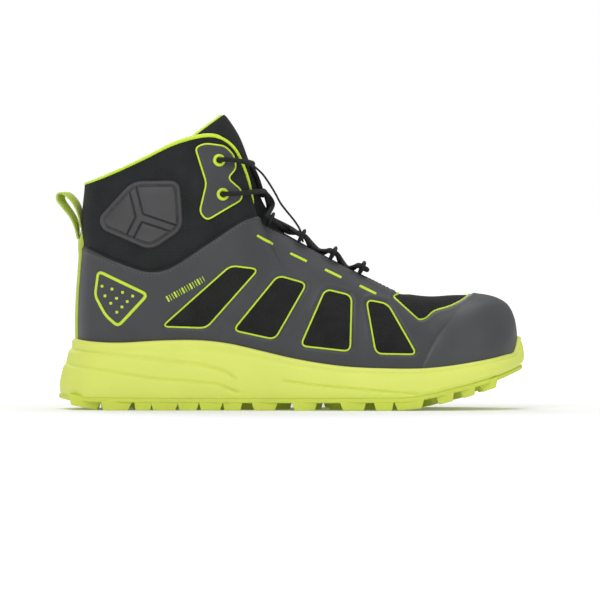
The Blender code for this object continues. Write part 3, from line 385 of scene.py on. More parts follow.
class Skin:
    """Triangles with a row of numbers for each point: place, normal, then named scalars."""

    def __init__(self, data, triangles, names=()):
        self.data, self.triangles, self.names = data, triangles, list(names)

    def get(self, name):
        return self.data[:, 6 + self.names.index(name)]

    def add(self, name, values):
        self.data = np.concatenate([self.data, np.asarray(values, float)[:, None]], 1)
        self.names.append(name)

    def cut(self, name, level=0.0, keep_above=True):
        """The part where the scalar is above (or below) a level, cut exactly along it."""
        sign = 1.0 if keep_above else -1.0
        d = (self.get(name) - level) * sign
        d = np.where(np.abs(d) < 1e-6, 1e-6, d)
        tri = self.triangles
        inside = d[tri] > 0
        count = inside.sum(1)
        whole = tri[count == 3]
        new_rows, pieces = [], [whole]
        base = len(self.data)
        for wanted in (1, 2):
            some, which = tri[count == wanted], inside[count == wanted]
            if not len(some):
                continue
            odd = which.argmax(1) if wanted == 1 else (~which).argmax(1)
            rows = np.arange(len(some))
            a, b, c = some[rows, odd], some[rows, (odd + 1) % 3], some[rows, (odd + 2) % 3]
            made = []
            for other in (b, c):
                low, high = np.minimum(a, other), np.maximum(a, other)
                share = d[low] / (d[low] - d[high])
                new_rows.append(self.data[low] * (1 - share)[:, None] + self.data[high] * share[:, None])
                made.append(base + np.arange(len(some)))
                base += len(some)
            ab, ac = made
            rows = [(a, ab, ac)] if wanted == 1 else [(ab, b, c), (ab, c, ac)]
            pieces += [np.stack(row, 1) for row in rows]
        data = np.concatenate([self.data, *new_rows]) if new_rows else self.data
        triangles = np.concatenate(pieces)
        keys = np.round(data[:, :3] / 1e-4).astype(np.int64)
        _, first, index = np.unique(keys, axis=0, return_index=True, return_inverse=True)
        triangles = index.reshape(-1)[triangles]
        return trimmed(data[first], triangles, self.names)

    def raised(self, height_of):
        """The points moved out along their normals."""
        return self.data[:, :3] + self.data[:, 3:6] * np.asarray(height_of)[:, None]


def point_normals(points, triangles):
    a, b, c = (points[triangles[:, i]] for i in range(3))
    faces = np.cross(b - a, c - a)
    normals = np.zeros_like(points)
    for corner in range(3):
        np.add.at(normals, triangles[:, corner], faces)
    return normals / np.maximum(np.linalg.norm(normals, axis=1, keepdims=True), 1e-12)


def smooth_points(points, triangles, mask, rounds):
    """Moves the masked points towards the mean of their neighbours."""
    edges = np.concatenate([triangles[:, [0, 1]], triangles[:, [1, 2]], triangles[:, [2, 0]]])
    edges = np.unique(np.sort(edges, 1), axis=0)
    degree = np.bincount(edges.reshape(-1), minlength=len(points))[:, None]
    for _ in range(rounds):
        total = np.zeros_like(points)
        np.add.at(total, edges[:, 0], points[edges[:, 1]])
        np.add.at(total, edges[:, 1], points[edges[:, 0]])
        mean = total / np.maximum(degree, 1)
        points = points + (mean - points) * (0.6 * mask)[:, None]
    return points


def whole_last():
    """The last as one fine skin, its two sides joined along the ridge."""
    r = np.arange(KCOLS) / FINE
    lines, stations = last_lines(r)
    v = np.linspace(0, 1, ACROSS + 1)
    grid = bezier([p[:, None, :] for p in lines], v[None, :])
    index = np.arange(KCOLS * (ACROSS + 1)).reshape(KCOLS, ACROSS + 1)
    for k in range(RIDGE * FINE, TIP * FINE):
        index[KCOLS - k, ACROSS] = index[k, ACROSS]
    a, b = index, np.roll(index, -1, 0)
    quads = np.stack([a[:, :-1], b[:, :-1], b[:, 1:], a[:, 1:]], -1).reshape(-1, 4)
    triangles = np.concatenate([quads[:, [0, 1, 2]], quads[:, [0, 2, 3]]])
    triangles = triangles[(triangles != np.roll(triangles, 1, 1)).all(1)]
    points = grid.reshape(-1, 3)
    station = np.repeat(stations, ACROSS + 1)
    rows = np.tile(v, KCOLS)
    mask = np.clip((station - 12.6) / 1.2, 0, 1) * np.clip((rows - 0.35) / 0.25, 0, 1)
    points = smooth_points(points, triangles, mask, 60)
    corner = np.clip(1 - np.abs(station - 9) / 1.6, 0, 1) * np.clip((rows - 0.4) / 0.2, 0, 1) * (rows < 0.995)
    points = smooth_points(points, triangles, corner, 30)
    normals = point_normals(points, triangles)
    data = np.concatenate([points, normals, rows[:, None], station[:, None]], 1)
    return trimmed(data, triangles, ("v", "station"))


def path_distance(points, route):
    """Distance in x and z from an open route."""
    nearest = np.full(len(points), FAR)
    x, z = points[:, 0], points[:, 2]
    for (ax, az), (bx, bz) in zip(route, route[1:]):
        ex, ez = bx - ax, bz - az
        t = np.clip(((x - ax) * ex + (z - az) * ez) / (ex * ex + ez * ez + 1e-12), 0, 1)
        nearest = np.minimum(nearest, np.hypot(x - ax - t * ex, z - az - t * ez))
    return nearest


def outline_distance(points, shape):
    """Distance in x and z from an outline: positive outside it."""
    corners = [tuple(p) for p in shape]
    route = [corners[-1], *corners]
    inside = np.zeros(len(points), bool)
    x, z = points[:, 0], points[:, 2]
    for (ax, az), (bx, bz) in zip(route, corners):
        crosses = (az > z) != (bz > z)
        inside ^= crosses & (x < (bx - ax) * (z - az) / (bz - az + 1e-12) + ax)
    nearest = path_distance(points, route)
    return np.where(inside, -nearest, nearest)


# ---- objects -----------------------------------------------------------------------------------------
def make_mesh(name, points, faces, finish, body="boot"):
    """A smooth piece from points in millimetres."""
    slot, material = FINISH[finish]
    mesh = bpy.data.meshes.new(name)
    mesh.from_pydata(np.asarray(points, float) * MM, [], [tuple(int(i) for i in f) for f in faces])
    mesh.validate()
    made = bpy.data.objects.new(name, mesh)
    bpy.context.scene.collection.objects.link(made)
    mesh.materials.append(material)
    mesh.shade_smooth()
    if body:
        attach(made, body)
    return made


def sharpen(made, degrees):
    made.data.set_sharp_from_angle(angle=math.radians(degrees))
    return made


def closed_mesh(name, points, faces, finish, body="boot"):
    """A piece from faces that close, turned outwards."""
    made = make_mesh(name, points, faces, finish, body)
    bm = bmesh.new()
    bm.from_mesh(made.data)
    bmesh.ops.recalc_face_normals(bm, faces=bm.faces)
    bm.to_mesh(made.data)
    bm.free()
    return made


def loft_faces(rows, size, ends="open"):
    """Faces of a tube of rows rings of size points each. Its ends are open, flat caps, or joined to each other."""
    faces = []
    for i in range(rows if ends == "joined" else rows - 1):
        a, b = i * size, (i + 1) % rows * size
        faces += [(a + j, a + (j + 1) % size, b + (j + 1) % size, b + j) for j in range(size)]
    if ends == "caps":
        faces += [tuple(range(size))[::-1], tuple(range((rows - 1) * size, rows * size))]
    return faces


def turn_angle(j, count):
    return 2 * math.pi * j / count


def tube_mesh(name, path, radius, finish, sides=10, body="boot", closed=False):
    """A round cord along a path, with rounded ends or joined into a ring."""
    count = len(path)
    points, over = [], None
    for i, p in enumerate(path):
        before = path[i - 1] if closed or i else path[0]
        after = path[(i + 1) % count] if closed or i < count - 1 else path[-1]
        along = (after - before).normalized()
        over = over or along.orthogonal().normalized()
        over = (over - along * over.dot(along)).normalized()
        other = along.cross(over)
        for angle in (turn_angle(j, sides) for j in range(sides)):
            points.append(p + over * math.cos(angle) * radius + other * math.sin(angle) * radius)
    faces = loft_faces(count, sides, "joined" if closed else "open")
    for end, step in () if closed else ((0, -1), (count - 1, 1)):
        tip = len(points)
        points.append(path[end] + (path[end] - path[end - step]).normalized() * radius * 0.5)
        ring = [end * sides + j for j in range(sides)]
        faces += [(ring[j], ring[(j + 1) % sides], tip)[:: step] for j in range(sides)]
    return closed_mesh(name, points, faces, finish, body)


def resampled(path, spacing):
    """Points at an even spacing along a path."""
    lengths = [0.0]
    for a, b in zip(path, path[1:]):
        lengths.append(lengths[-1] + (b - a).length)
    count = max(int(lengths[-1] / spacing), 2)
    made, i = [], 0
    for n in range(count + 1):
        want = lengths[-1] * n / count
        while i < len(path) - 2 and lengths[i + 1] < want:
            i += 1
        share = (want - lengths[i]) / max(lengths[i + 1] - lengths[i], 1e-9)
        made.append(path[i].lerp(path[i + 1], min(max(share, 0), 1)))
    return made


# ---- materials ---------------------------------------------------------------------------------------
BUMP_DEPTH = 0.0006
BUMP_TEXTURES = {  # kind: node, extra inputs, output
    "grain": ("ShaderNodeTexNoise", {"Detail": 6}, "Fac"),
    "knit": ("ShaderNodeTexVoronoi", {"Randomness": 0.35}, "Distance"),
    "weave": ("ShaderNodeTexWave", {"Distortion": 0.6}, "Fac"),
}


def stuff(name, colour, rough, spread, scale, bump, sheen=0.0, coat=0.0, gloss=0.35, shade_by=0.45):
    """A procedural finish. bump holds (kind, cells per metre, strength) rows. Weave and knit also shade the colour."""
    made = bpy.data.materials.new(name)
    made.use_nodes = True
    made.diffuse_color = (*colour, 1)
    nodes, links = made.node_tree.nodes, made.node_tree.links
    shader = nodes["Principled BSDF"]

    def node(kind, **values):
        new = nodes.new(kind)
        fill(new, {key.replace("_", " "): value for key, value in values.items()})
        return new

    def fill(new, values):
        for key, value in values.items():
            if hasattr(value, "is_linked"):
                links.new(value, new.inputs[key])
            else:
                new.inputs[key].default_value = value

    fill(shader, {"Roughness": rough, "Sheen Weight": sheen, "Specular IOR Level": gloss, "Sheen Roughness": 0.4,
                  "Coat Weight": coat, "Coat Roughness": 0.25})
    place = nodes.new("ShaderNodeTexCoord").outputs["Object"]
    noise = node("ShaderNodeTexNoise", Scale=scale, Detail=5, Vector=place)
    ramp = node("ShaderNodeValToRGB", Fac=noise.outputs["Fac"])
    for stop, position, share in zip(ramp.color_ramp.elements, (0.3, 0.7), (1 - spread, 1 + spread)):
        stop.position, stop.color = position, (*(min(c * share, 1) for c in colour), 1)
    colour_out = ramp.outputs["Color"]
    for kind, cells, strength in bump:
        kind_of, extra, output = BUMP_TEXTURES[kind]
        values = []
        for direction in ("X", "Z") if kind == "weave" else (None,):
            texture = node(kind_of, Scale=cells, Vector=place, **extra)
            if direction:
                texture.bands_direction = direction
            values.append(texture.outputs[output])
        if len(values) == 2:
            both = nodes.new("ShaderNodeMath")
            both.operation = "MAXIMUM"
            for i, value in enumerate(values):
                links.new(value, both.inputs[i])
            values = [both.outputs[0]]
        raised = node("ShaderNodeBump", Strength=strength, Distance=BUMP_DEPTH, Height=values[0])
        if shader.inputs["Normal"].is_linked:
            links.new(shader.inputs["Normal"].links[0].from_socket, raised.inputs["Normal"])
        links.new(raised.outputs["Normal"], shader.inputs["Normal"])
        if kind != "grain":
            grey = node("ShaderNodeMapRange", To_Min=0.35, To_Max=1.3, Value=values[0])
            shade = nodes.new("ShaderNodeMix")
            shade.data_type, shade.blend_type = "RGBA", "MULTIPLY"
            fill(shade, {"Factor": shade_by, "A": colour_out, "B": grey.outputs["Result"]})
            colour_out = shade.outputs["Result"]
    links.new(colour_out, shader.inputs["Base Color"])
    return made


BINDING = stuff("black_loop", (0.020, 0.020, 0.021), 0.7, 0.15, 90, [("knit", 1500, 0.8)], 0.02, gloss=0.25)
WOVEN = [("weave", 210, 0.35), ("grain", 500, 0.25)]
FILM = [("grain", 1400, 0.22), ("grain", 260, 0.06)]
FINISH = {  # finish: (slot, material)
    "sole": ("lime_rubber", stuff("lime_sole", (0.77, 0.85, 0.165), 0.5, 0.03, 25, [("grain", 900, 0.12)])),
    # the lugs use the same lime rubber as the sole, made darker: painted shade for the underside of the sole
    "lug": ("lime_rubber", stuff("lime_lugs_painted_shade", (0.66, 0.76, 0.10), 0.55, 0.05, 40, [("grain", 700, 0.15)])),
    "line": ("lime_line", stuff("lime_print", (0.58, 0.80, 0.04), 0.45, 0.04, 60, [("grain", 900, 0.1)])),
    "web": ("lime_webbing",
            stuff("lime_webbing", (0.52, 0.63, 0.10), 0.8, 0.06, 90, [("weave", 300, 0.3)], 0.1, shade_by=0.12)),
    "mesh": ("lime_mesh",
             stuff("lime_mesh", (0.56, 0.70, 0.07), 0.9, 0.08, 90, [("knit", 700, 0.6)], 0.1, shade_by=0.3)),
    "grey": ("grey_overlay", stuff("grey_film", (0.056, 0.057, 0.063), 0.42, 0.1, 35, FILM)),
    "toe": ("grey_rubber", stuff("grey_toe_film", (0.068, 0.070, 0.075), 0.4, 0.08, 30, [("grain", 1500, 0.2)])),
    "guard": ("grey_plastic", stuff("grey_guard", (0.060, 0.060, 0.063), 0.48, 0.07, 40, [("grain", 1100, 0.22)])),
    "window": ("black_textile",
               stuff("black_mesh", (0.021, 0.022, 0.021), 0.85, 0.15, 70, [("knit", 620, 0.9)], gloss=0.15)),
    "collar": ("black_textile", stuff("black_knit", (0.023, 0.024, 0.025), 0.9, 0.2, 50, WOVEN, 0.03, gloss=0.15)),
    "tongue": ("black_textile",
               stuff("black_tongue", (0.023, 0.024, 0.025), 0.9, 0.2, 50, [("knit", 480, 0.6)], 0.03, gloss=0.15)),
    "lace": ("black_cord",
             stuff("black_lace", (0.022, 0.022, 0.024), 0.75, 0.2, 90, [("knit", 1300, 1.0)], 0.02, gloss=0.25)),
    "binding": ("black_textile", BINDING),
    "loop": ("black_cord", BINDING),
    "thread": ("black_textile", stuff("grey_thread", (0.10, 0.10, 0.105), 0.7, 0.1, 200, [("grain", 2500, 0.4)], 0.2)),
}
INNER_FINISH = {  # the CAD's own pieces that stay
    "insole_board": stuff("white_board", (0.62, 0.62, 0.58), 0.85, 0.06, 60, [("weave", 300, 0.3)]),
    "collar_foam": stuff("black_foam", (0.03, 0.03, 0.03), 0.95, 0.2, 300, [("knit", 900, 0.5)]),
    "footbed": stuff("grey_footbed", (0.07, 0.075, 0.07), 0.9, 0.15, 80, [("weave", 260, 0.5)], 0.2),
    **dict.fromkeys(("shank", "toe_cap", "heel_counter"),
                    stuff("grey_composite", (0.16, 0.16, 0.17), 0.5, 0.1, 60, [("grain", 600, 0.2)])),
}


# ---- shells and patches ------------------------------------------------------------------------------
SHELL_SHARP = 48


def shell(name, skin, outer, inner, finish):
    """A closed piece between two heights over a skin."""
    count = len(skin.data)
    tri = skin.triangles
    edges = np.concatenate([tri[:, [0, 1]], tri[:, [1, 2]], tri[:, [2, 0]]])
    _, index, used = np.unique(np.sort(edges, 1), axis=0, return_inverse=True, return_counts=True)
    rim = edges[used[index.reshape(-1)] == 1]
    ones = np.ones(count)
    points = np.concatenate([skin.raised(outer * ones), skin.raised(inner * ones)])
    faces = tri.tolist() + (tri[:, ::-1] + count).tolist() + [(b, a, a + count, b + count) for a, b in rim.tolist()]
    return sharpen(make_mesh(name, points, faces, finish), SHELL_SHARP)


class Surface:
    """Finds places on a skin from the side."""

    def __init__(self, skin):
        self.points, self.normals, self.triangles = skin.data[:, :3], skin.data[:, 3:6], skin.triangles
        self.tree = BVHTree.FromPolygons(self.points.tolist(), self.triangles.tolist())

    def at(self, x, z, side):
        hit, _, index, _ = self.tree.ray_cast(Vector((x, side * 120, z)), Vector((0, -side, 0)))
        if hit is None:
            hit, _, index, _ = self.tree.find_nearest(Vector((x, side * 50, z)))
        return hit, self.normal(hit, index)

    def normal(self, hit, index):
        corners = self.triangles[index]
        a, b, c = (Vector(self.points[i]) for i in corners)
        u, v, w = (b - a), (c - a), hit - a
        uu, uv, vv, wu, wv = u.dot(u), u.dot(v), v.dot(v), w.dot(u), w.dot(v)
        d = uu * vv - uv * uv or 1e-9
        s, t = (vv * wu - uv * wv) / d, (uu * wv - uv * wu) / d
        mixed = self.normals[corners[0]] * (1 - s - t) + self.normals[corners[1]] * s + self.normals[corners[2]] * t
        return Vector(mixed).normalized()


def patch(name, shape, side, height_of, under, finish, surface, step=0.7, holes=()):
    """A moulded patch on one side. height_of(x, z, d) is its height over the surface, d its depth in the outline."""
    corners = np.array([list(p) for p in shape])
    low, high = corners.min(0) - step, corners.max(0) + step
    xs, zs = np.arange(low[0], high[0], step), np.arange(low[1], high[1], step)
    gx, gz = np.meshgrid(xs, zs, indexing="ij")
    data = np.zeros((gx.size, 6))
    data[:, 0], data[:, 2] = gx.reshape(-1), gz.reshape(-1)
    index = np.arange(gx.size).reshape(gx.shape)
    quads = np.stack([index[:-1, :-1], index[1:, :-1], index[1:, 1:], index[:-1, 1:]], -1).reshape(-1, 4)
    triangles = np.concatenate([quads[:, [0, 1, 2]], quads[:, [0, 2, 3]]])
    skin = Skin(data, triangles if side < 0 else triangles[:, ::-1])
    skin.add("depth", -outline_distance(data, shape))
    skin = skin.cut("depth")
    for hx, hz, radius in holes:
        name_of_hole = f"hole {hx} {hz}"
        skin.add(name_of_hole, np.hypot(skin.data[:, 0] - hx, skin.data[:, 2] - hz) - radius)
        skin = skin.cut(name_of_hole)
    heights = height_of(skin.data[:, 0], skin.data[:, 2], skin.get("depth"))
    for row in skin.data:
        hit, normal = surface.at(row[0], row[2], side)
        row[:3], row[3:6] = hit, normal
    return shell(name, skin, heights, under, finish)


BEAD_SECTION = ((-0.5, 0), (-0.46, 0.62), (-0.3, 0.93), (0, 1), (0.3, 0.93), (0.46, 0.62), (0.5, 0))
BEAD_STEP = 0.9


def bead(name, route, side, width, low, high, finish, surface, closed=True):
    """A raised line that follows a route over one side of the boot."""
    flat_route = [Vector((p[0], 0, p[1])) for p in route]
    spots = resampled(flat_route + flat_route[:1] if closed else flat_route, BEAD_STEP)
    if closed:
        spots.pop()
    count = len(spots)
    points = []
    for i, spot in enumerate(spots):
        before = spots[i - 1] if closed or i else spot
        after = spots[(i + 1) % count] if closed or i < count - 1 else spot
        hit, normal = surface.at(spot.x, spot.z, side)
        along = (after - before).normalized()
        over = normal.cross((along - normal * along.dot(normal)).normalized())
        for across, up in BEAD_SECTION:
            points.append(hit + over * across * width + normal * (low + (high - low) * up))
    return closed_mesh(name, points, loft_faces(count, len(BEAD_SECTION), "joined" if closed else "caps"), finish)


STITCH_PITCH, STITCH_LENGTH, STITCH_R = 2.6, 1.7, 0.28
STITCH_SECTIONS = ((0, 0.5, -0.25), (0.25, 1, 0), (0.5, 1.1, 0.08), (0.75, 1, 0), (1, 0.5, -0.25))
STITCH_SIDES = 6


def stitches(name, route, side, surface, lift):
    """A row of thread stitches over one side of the boot, as one object."""
    spots = resampled([Vector((p[0], 0, p[1])) for p in route], STITCH_PITCH)
    points, faces = [], []
    for a, b in zip(spots, spots[1:]):
        middle, half = (a + b) / 2, (b - a).normalized() * STITCH_LENGTH / 2
        start, end = middle - half, middle + half
        start_hit, normal = surface.at(start.x, start.z, side)
        start = start_hit + normal * lift
        end_hit, normal = surface.at(end.x, end.z, side)
        end = end_hit + normal * lift
        over = normal.cross((end - start).normalized())
        base = len(points)
        for share, size, drop in STITCH_SECTIONS:
            centre = start.lerp(end, share) + normal * drop
            for angle in (turn_angle(j, STITCH_SIDES) for j in range(STITCH_SIDES)):
                points.append(centre + (over * math.cos(angle) + normal * math.sin(angle)) * STITCH_R * size)
        faces += [tuple(base + i for i in f) for f in loft_faces(len(STITCH_SECTIONS), STITCH_SIDES, "caps")]
    return closed_mesh(name, points, faces, "thread")


def bar(name, x, z, angle, length, width, side, low, high):
    """A short raised bar with round ends, such as a bar tack."""
    cos, sin = math.cos(angle), math.sin(angle)
    corners = []
    for sx, sy in ((-1, -1), (1, -1), (1, 1), (-1, 1)):
        dx, dz = sx * length / 2, sy * width / 2
        corners.append((x + dx * cos - dz * sin, z + dx * sin + dz * cos))
    shape = rounded(corners, min(length, width) * 0.4)

    def rise(_x, _z, depth):
        return low + (high - low) * ss(-0.1, 0.45, depth)

    return patch(name, shape, side, rise, low - 0.5, "line", SURFACE, step=0.45)


# ---- the upper ---------------------------------------------------------------------------------------
BASE = whole_last()
XS, ZS = BASE.data[:, 0], BASE.data[:, 2]
BASE.add("rim", ZS - line_heights(RIM_LINE, XS))
BASE.add("border", np.where(BASE.get("station") < THROAT + 1, line_heights(OVERLAY_TOP, XS) - ZS, 60.0))
BASE.add("throat", (1 - BASE.get("v")) * 60)
BASE.add("window", np.min([outline_distance(BASE.data, outline(shape, WINDOW_R)) for shape in WINDOWS], axis=0))
BASE.add("vamp", outline_distance(BASE.data, outline(VAMP_WINDOW, VAMP_R)))
BASE.add("crease", outline_distance(BASE.data, TOE_FRONT))
SURFACE = Surface(BASE)


def make_upper():
    lower = BASE.cut("rim", -3.5)
    film = lower.cut("border").cut("window").cut("vamp")
    for name, at_toe in (("film", False), ("toe_film", True)):
        part = film.cut("crease", 0.0, not at_toe)
        z, station = part.data[:, 2], part.get("station")
        open_edge = np.where(station < RIDGE, part.get("throat"), 60)
        edge = np.minimum.reduce([part.get("border"), part.get("window"), part.get("vamp"), open_edge])
        crease = np.exp(-(part.get("crease") / 1.1) ** 2) * (1 - ss(44, 60, z))
        seam = 0.25 * np.exp(-((edge - 2.2) / 1.2) ** 2)
        rise = 0.45 + 0.85 * ss(-0.1, 1.5, edge) - 0.6 * crease + seam
        if at_toe:
            rise = rise + 0.35 * ss(0, 7, -part.get("crease")) * (1 - ss(40, 62, z))
        bumper = 1.9 * ss(14.6, 16.8, station) * (1 - ss(66, 76, z))
        made = shell(name, part, rise + bumper, -0.9, "toe" if at_toe else "grey")
        if at_toe:
            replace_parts(made, "toe_guard")
        else:
            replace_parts(made, "overlay_lateral", "overlay_medial")
    cloth = lower.cut("border", -1.0)
    textile = cloth.cut("window", 1.2, False)
    made = shell("window_textile", textile, 0.2 + 0.5 * ss(1, 9, -textile.get("window")), -1.0, "window")
    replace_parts(made, "body_textile")
    vamp = cloth.cut("vamp", 1.2, False)
    shell("vamp_textile", vamp, 0.2 + 0.9 * ss(0.5, 7, -vamp.get("vamp")), -1.0, "window")
    for side, word in SIDES:
        for i, shape in enumerate(WINDOWS):
            route = outline(shape, WINDOW_R, -0.45)
            made = bead(f"window_line_{word}_{i + 1}", route, side, 1.25, -0.1, 0.8, "line", SURFACE)
            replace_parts(made, f"window_trim_{word}_{i + 1}")
    ring = BASE.cut("vamp", 0.1, False).cut("vamp", -1.0)
    depth = np.minimum(0.1 - ring.get("vamp"), ring.get("vamp") + 1.0)
    made = shell("vamp_line", ring, 0.35 + 0.65 * ss(0, 0.4, depth), -0.3, "line")
    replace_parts(made, "vamp_trim")


def heel_fill(station, v):
    """How much fuller the padded heel is than the last, near its top."""
    return 2.6 * ss(0.5, 1.0, v) * (1 - ss(0.6, 2.8, station))


def make_collar():
    """The padded collar panel. Returns its outside, which the details lie on."""
    skin = BASE.cut("border", 0.6, False).cut("station", THROAT + 0.2, False)
    station, throat, border = skin.get("station"), skin.get("throat"), -skin.get("border")
    swell = 1.5 * ss(0, 10, border) * ss(0, 14, throat) * (1 - 0.7 * ss(4.6, 6.2, station))
    roll = -0.7 * (1 - ss(0, 3.0, throat)) * ss(0.5, 2.5, station) + heel_fill(station, skin.get("v"))
    made = shell("collar", skin, swell + roll, -pad_depth(station) - 0.2, "collar")
    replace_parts(made, "collar_panel")
    raised = Skin(skin.data.copy(), skin.triangles, skin.names)
    raised.data[:, :3] = skin.raised(swell + roll)
    return Surface(raised)


def stitch_rows():
    for side, word in SIDES:
        line = [(x, height(OVERLAY_TOP, x) - 2.6) for x in np.arange(-129, -26, 4.0)]
        stitches(f"border_stitches_{word}", line, side, SURFACE, 1.5)
        edge = [last_point(station, 0.965) for station in np.arange(9.3, 12.9, 0.15)]
        stitches(f"throat_stitches_{word}", [(p.x, p.z) for p in edge], side, SURFACE, 1.5)


RIB_CENTRE, RIB_ENDS = (-98.5, 126.7), ((-103.9, 148), (-74.0, 118.5), (-106.5, 111.0))
GUARD = ((-104, 150.5), (-72.5, 151), (-70.3, 119), (-91.5, 104.6), (-123.5, 118.4), (-125.5, 126.5))
HEEL_LINE = ((-126, 92), (-92.8, 76.1), (-112.9, 54.2), (-121.5, 62), (-128.3, 75))
HEEL_DOTS = (
    (-123.1, 81.3), (-116.7, 79.5), (-109.9, 77.4), (-103.4, 75), (-121.2, 75), (-113.8, 73.5), (-106.9, 71.4),
    (-117.5, 70.2), (-110.3, 67.8), (-113.6, 64.4),
)
BAR_TACKS = ((-17.2, 111.3), (4.9, 99.6), (27.6, 88.8), (50.4, 78.1))
TICKS, TICK_START, TICK_RUN = 15, (-80.5, 73.2), (23.5, 13.0)


def guard_height(x, z, d):
    """The ankle guard: a rounded rim, a moat inside it, and a panel with three grooved ribs."""
    place = np.stack([x, 0 * x, z], 1)
    rim = np.exp(-((d - 1.6) / 1.25) ** 2)
    ribs = np.min([path_distance(place, (RIB_CENTRE, end)) for end in RIB_ENDS], axis=0)
    groove = 1.5 * np.exp(-((ribs - 2.5) / 0.55) ** 2) * ss(3.0, 3.8, d)
    moat = 0.7 * np.exp(-((d - 3.6) / 0.6) ** 2)
    panel = 1.5 + 0.5 * ss(3.6, 9.0, d) * ss(2.6, 6.0, ribs)
    edge = ss(-0.2, 0.9, d)
    return edge * (0.4 + 1.2 * rim) * (d < 3.6) + (panel - groove) * ss(3.0, 4.2, d) + edge * 0.7 - moat


def stay_height(_x, _z, d):
    return 0.35 + 0.75 * ss(0, 1.2, d)


def make_details(collar):
    for side, word in SIDES:
        made = patch(f"ankle_guard_{word}", rounded(GUARD, 7, 5), side, guard_height, -0.5, "guard", collar, 0.45)
        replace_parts(made, f"ankle_protector_{word}")
        holes = [(x, z, 2.4) for x, z in EYELETS]
        made = patch(f"eyelet_stay_film_{word}", outline(EYELET_STAY, 3.5), side, stay_height, -0.4, "grey", collar,
                     holes=holes)
        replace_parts(made, f"eyelet_stay_{word}")
        bead(f"eyelet_stay_line_{word}", outline(EYELET_STAY, 3.5, -0.3), side, 1.25, 0.1, 1.25, "line", collar)
        made = bead(f"heel_line_{word}", outline(HEEL_LINE, 4, -0.6), side, 2.2, 0.7, 1.75, "line", SURFACE)
        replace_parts(made, f"heel_trim_{word}")
        for i, (x, z) in enumerate(HEEL_DOTS):
            bar(f"heel_dot_{word}_{i + 1}", x, z, 0, 2.3, 2.3, side, 0.9, 1.7)
        for i, (x, z) in enumerate(BAR_TACKS):
            slope = math.atan2(-11.0, 22.3) if i else math.atan2(-12.0, 19.0)
            bar(f"bar_tack_{word}_{i + 1}", x, z, slope, 12.6, 1.8, side, 0.9, 1.9)
        for i in range(TICKS):
            x, z = (start + run * i / (TICKS - 1) for start, run in zip(TICK_START, TICK_RUN))
            bar(f"tick_{word}_{i + 1}", x, z, math.radians(-61), 4.6, 0.95 if i % 3 else 1.5, side, 1.0, 1.65)


def make_bindings():
    """Black binding round the throat and under the collar's lower edge, and lime piping down the collar's front."""
    for side, word in SIDES:
        for name, stations, v, normal_v, lift, radius, finish in (
            ("collar_front_line", np.arange(5.2, 9.05, 0.05), 1, 0.97, 0.2, 1.05, "line"),
            ("throat_binding", np.arange(8.9, 13.01, 0.06), 0.995, 0.95, 0.35, 1.35, "binding"),
        ):
            rings = [ring_at(station, side) for station in stations]
            points = [last_point(r, v) + last_normal(r, normal_v) * lift for r in rings]
            tube_mesh(f"{name}_{word}", resampled(smooth_path(points, 2), 0.8), radius, finish)
        line = [(x, height(OVERLAY_TOP, x) + 0.5) for x in np.arange(-133, -23.4, 2.0)]
        bead(f"border_binding_{word}", line, side, 1.5, -0.4, 1.15, "binding", SURFACE, closed=False)


EYELET_PROFILE = (
    (1.95, -3.0), (1.95, 1.6), (2.2, 2.0), (2.9, 2.15), (3.7, 1.8), (4.15, 1.2), (4.15, 0.9), (2.6, 0.8), (2.6, -3.0),
)


def turned(name, profile, centre, axis, finish, segments=40):
    """A profile of (radius, height) turned about an axis."""
    turn = Vector((0, 0, 1)).rotation_difference(axis).to_matrix()
    points = []
    for angle in (turn_angle(i, segments) for i in range(segments)):
        for r, z in profile:
            points.append(centre + turn @ Vector((r * math.cos(angle), r * math.sin(angle), z)))
    return sharpen(closed_mesh(name, points, loft_faces(segments, len(profile), "joined"), finish), 60)


def make_eyelets(collar):
    """The eyelet rings. Returns each one's centre and normal by side, the lower one first."""
    found = {}
    for side, word in SIDES:
        found[side] = [collar.at(x, z, side) for x, z in EYELETS]
        for i, (centre, normal) in enumerate(found[side]):
            made = turned(f"eyelet_ring_{word}_{i + 1}", EYELET_PROFILE, centre, normal, "line")
            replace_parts(made, f"eyelet_{word}_{i + 1}")
    return found


# ---- tongue, keeper and laces ------------------------------------------------------------------------
def smooth_path(points, per_span):
    """Points along a smooth curve through a route."""
    vectors = [Vector(p) for p in points]
    count = (len(points) - 1) * per_span
    return [open_value(vectors, i / per_span) for i in range(count + 1)]


def ridge_point(station):
    """The tongue's ridge at a ring station."""
    rows = TONGUE_RIDGE
    if station >= rows[0][0]:
        return Vector((rows[0][1], 0, rows[0][2]))
    for i, (a, b) in enumerate(zip(rows, rows[1:])):
        if station >= b[0]:
            values = [Vector((x, 0, z)) for _, x, z in rows]
            return open_value(values, i + (a[0] - station) / (a[0] - b[0]))
    return Vector((rows[-1][1], 0, rows[-1][2]))


def wing_point(station, side, v, depth):
    """A point of the tongue's wing under the throat's edge, inside the upper by depth."""
    r = ring_at(station, side)
    sideways = Vector((0.65, side * 0.75, 0.1))
    normal = last_normal(r, v).lerp(sideways, smoothstep(9.8, 8.8, station)).normalized()
    return last_point(r, v) - normal * depth


def tongue_row(station):
    """Points across the tongue's outside at a station, from the lateral wing to the medial one."""
    depth = float(lining_depths(station)[station < THROAT]) + LINING + GAP + TONGUE_CLEAR
    depth += LACE_ROOM * smoothstep(9.3, 8.3, station) if station > 8.3 else LACE_ROOM
    wings = []
    for side, _ in SIDES:
        wings.append([wing_point(station, side, v, depth) for v in (0.86, 0.93, 1.0)])
    route = [*wings[0], ridge_point(station), *reversed(wings[1])]
    return smooth_path(route, 8)


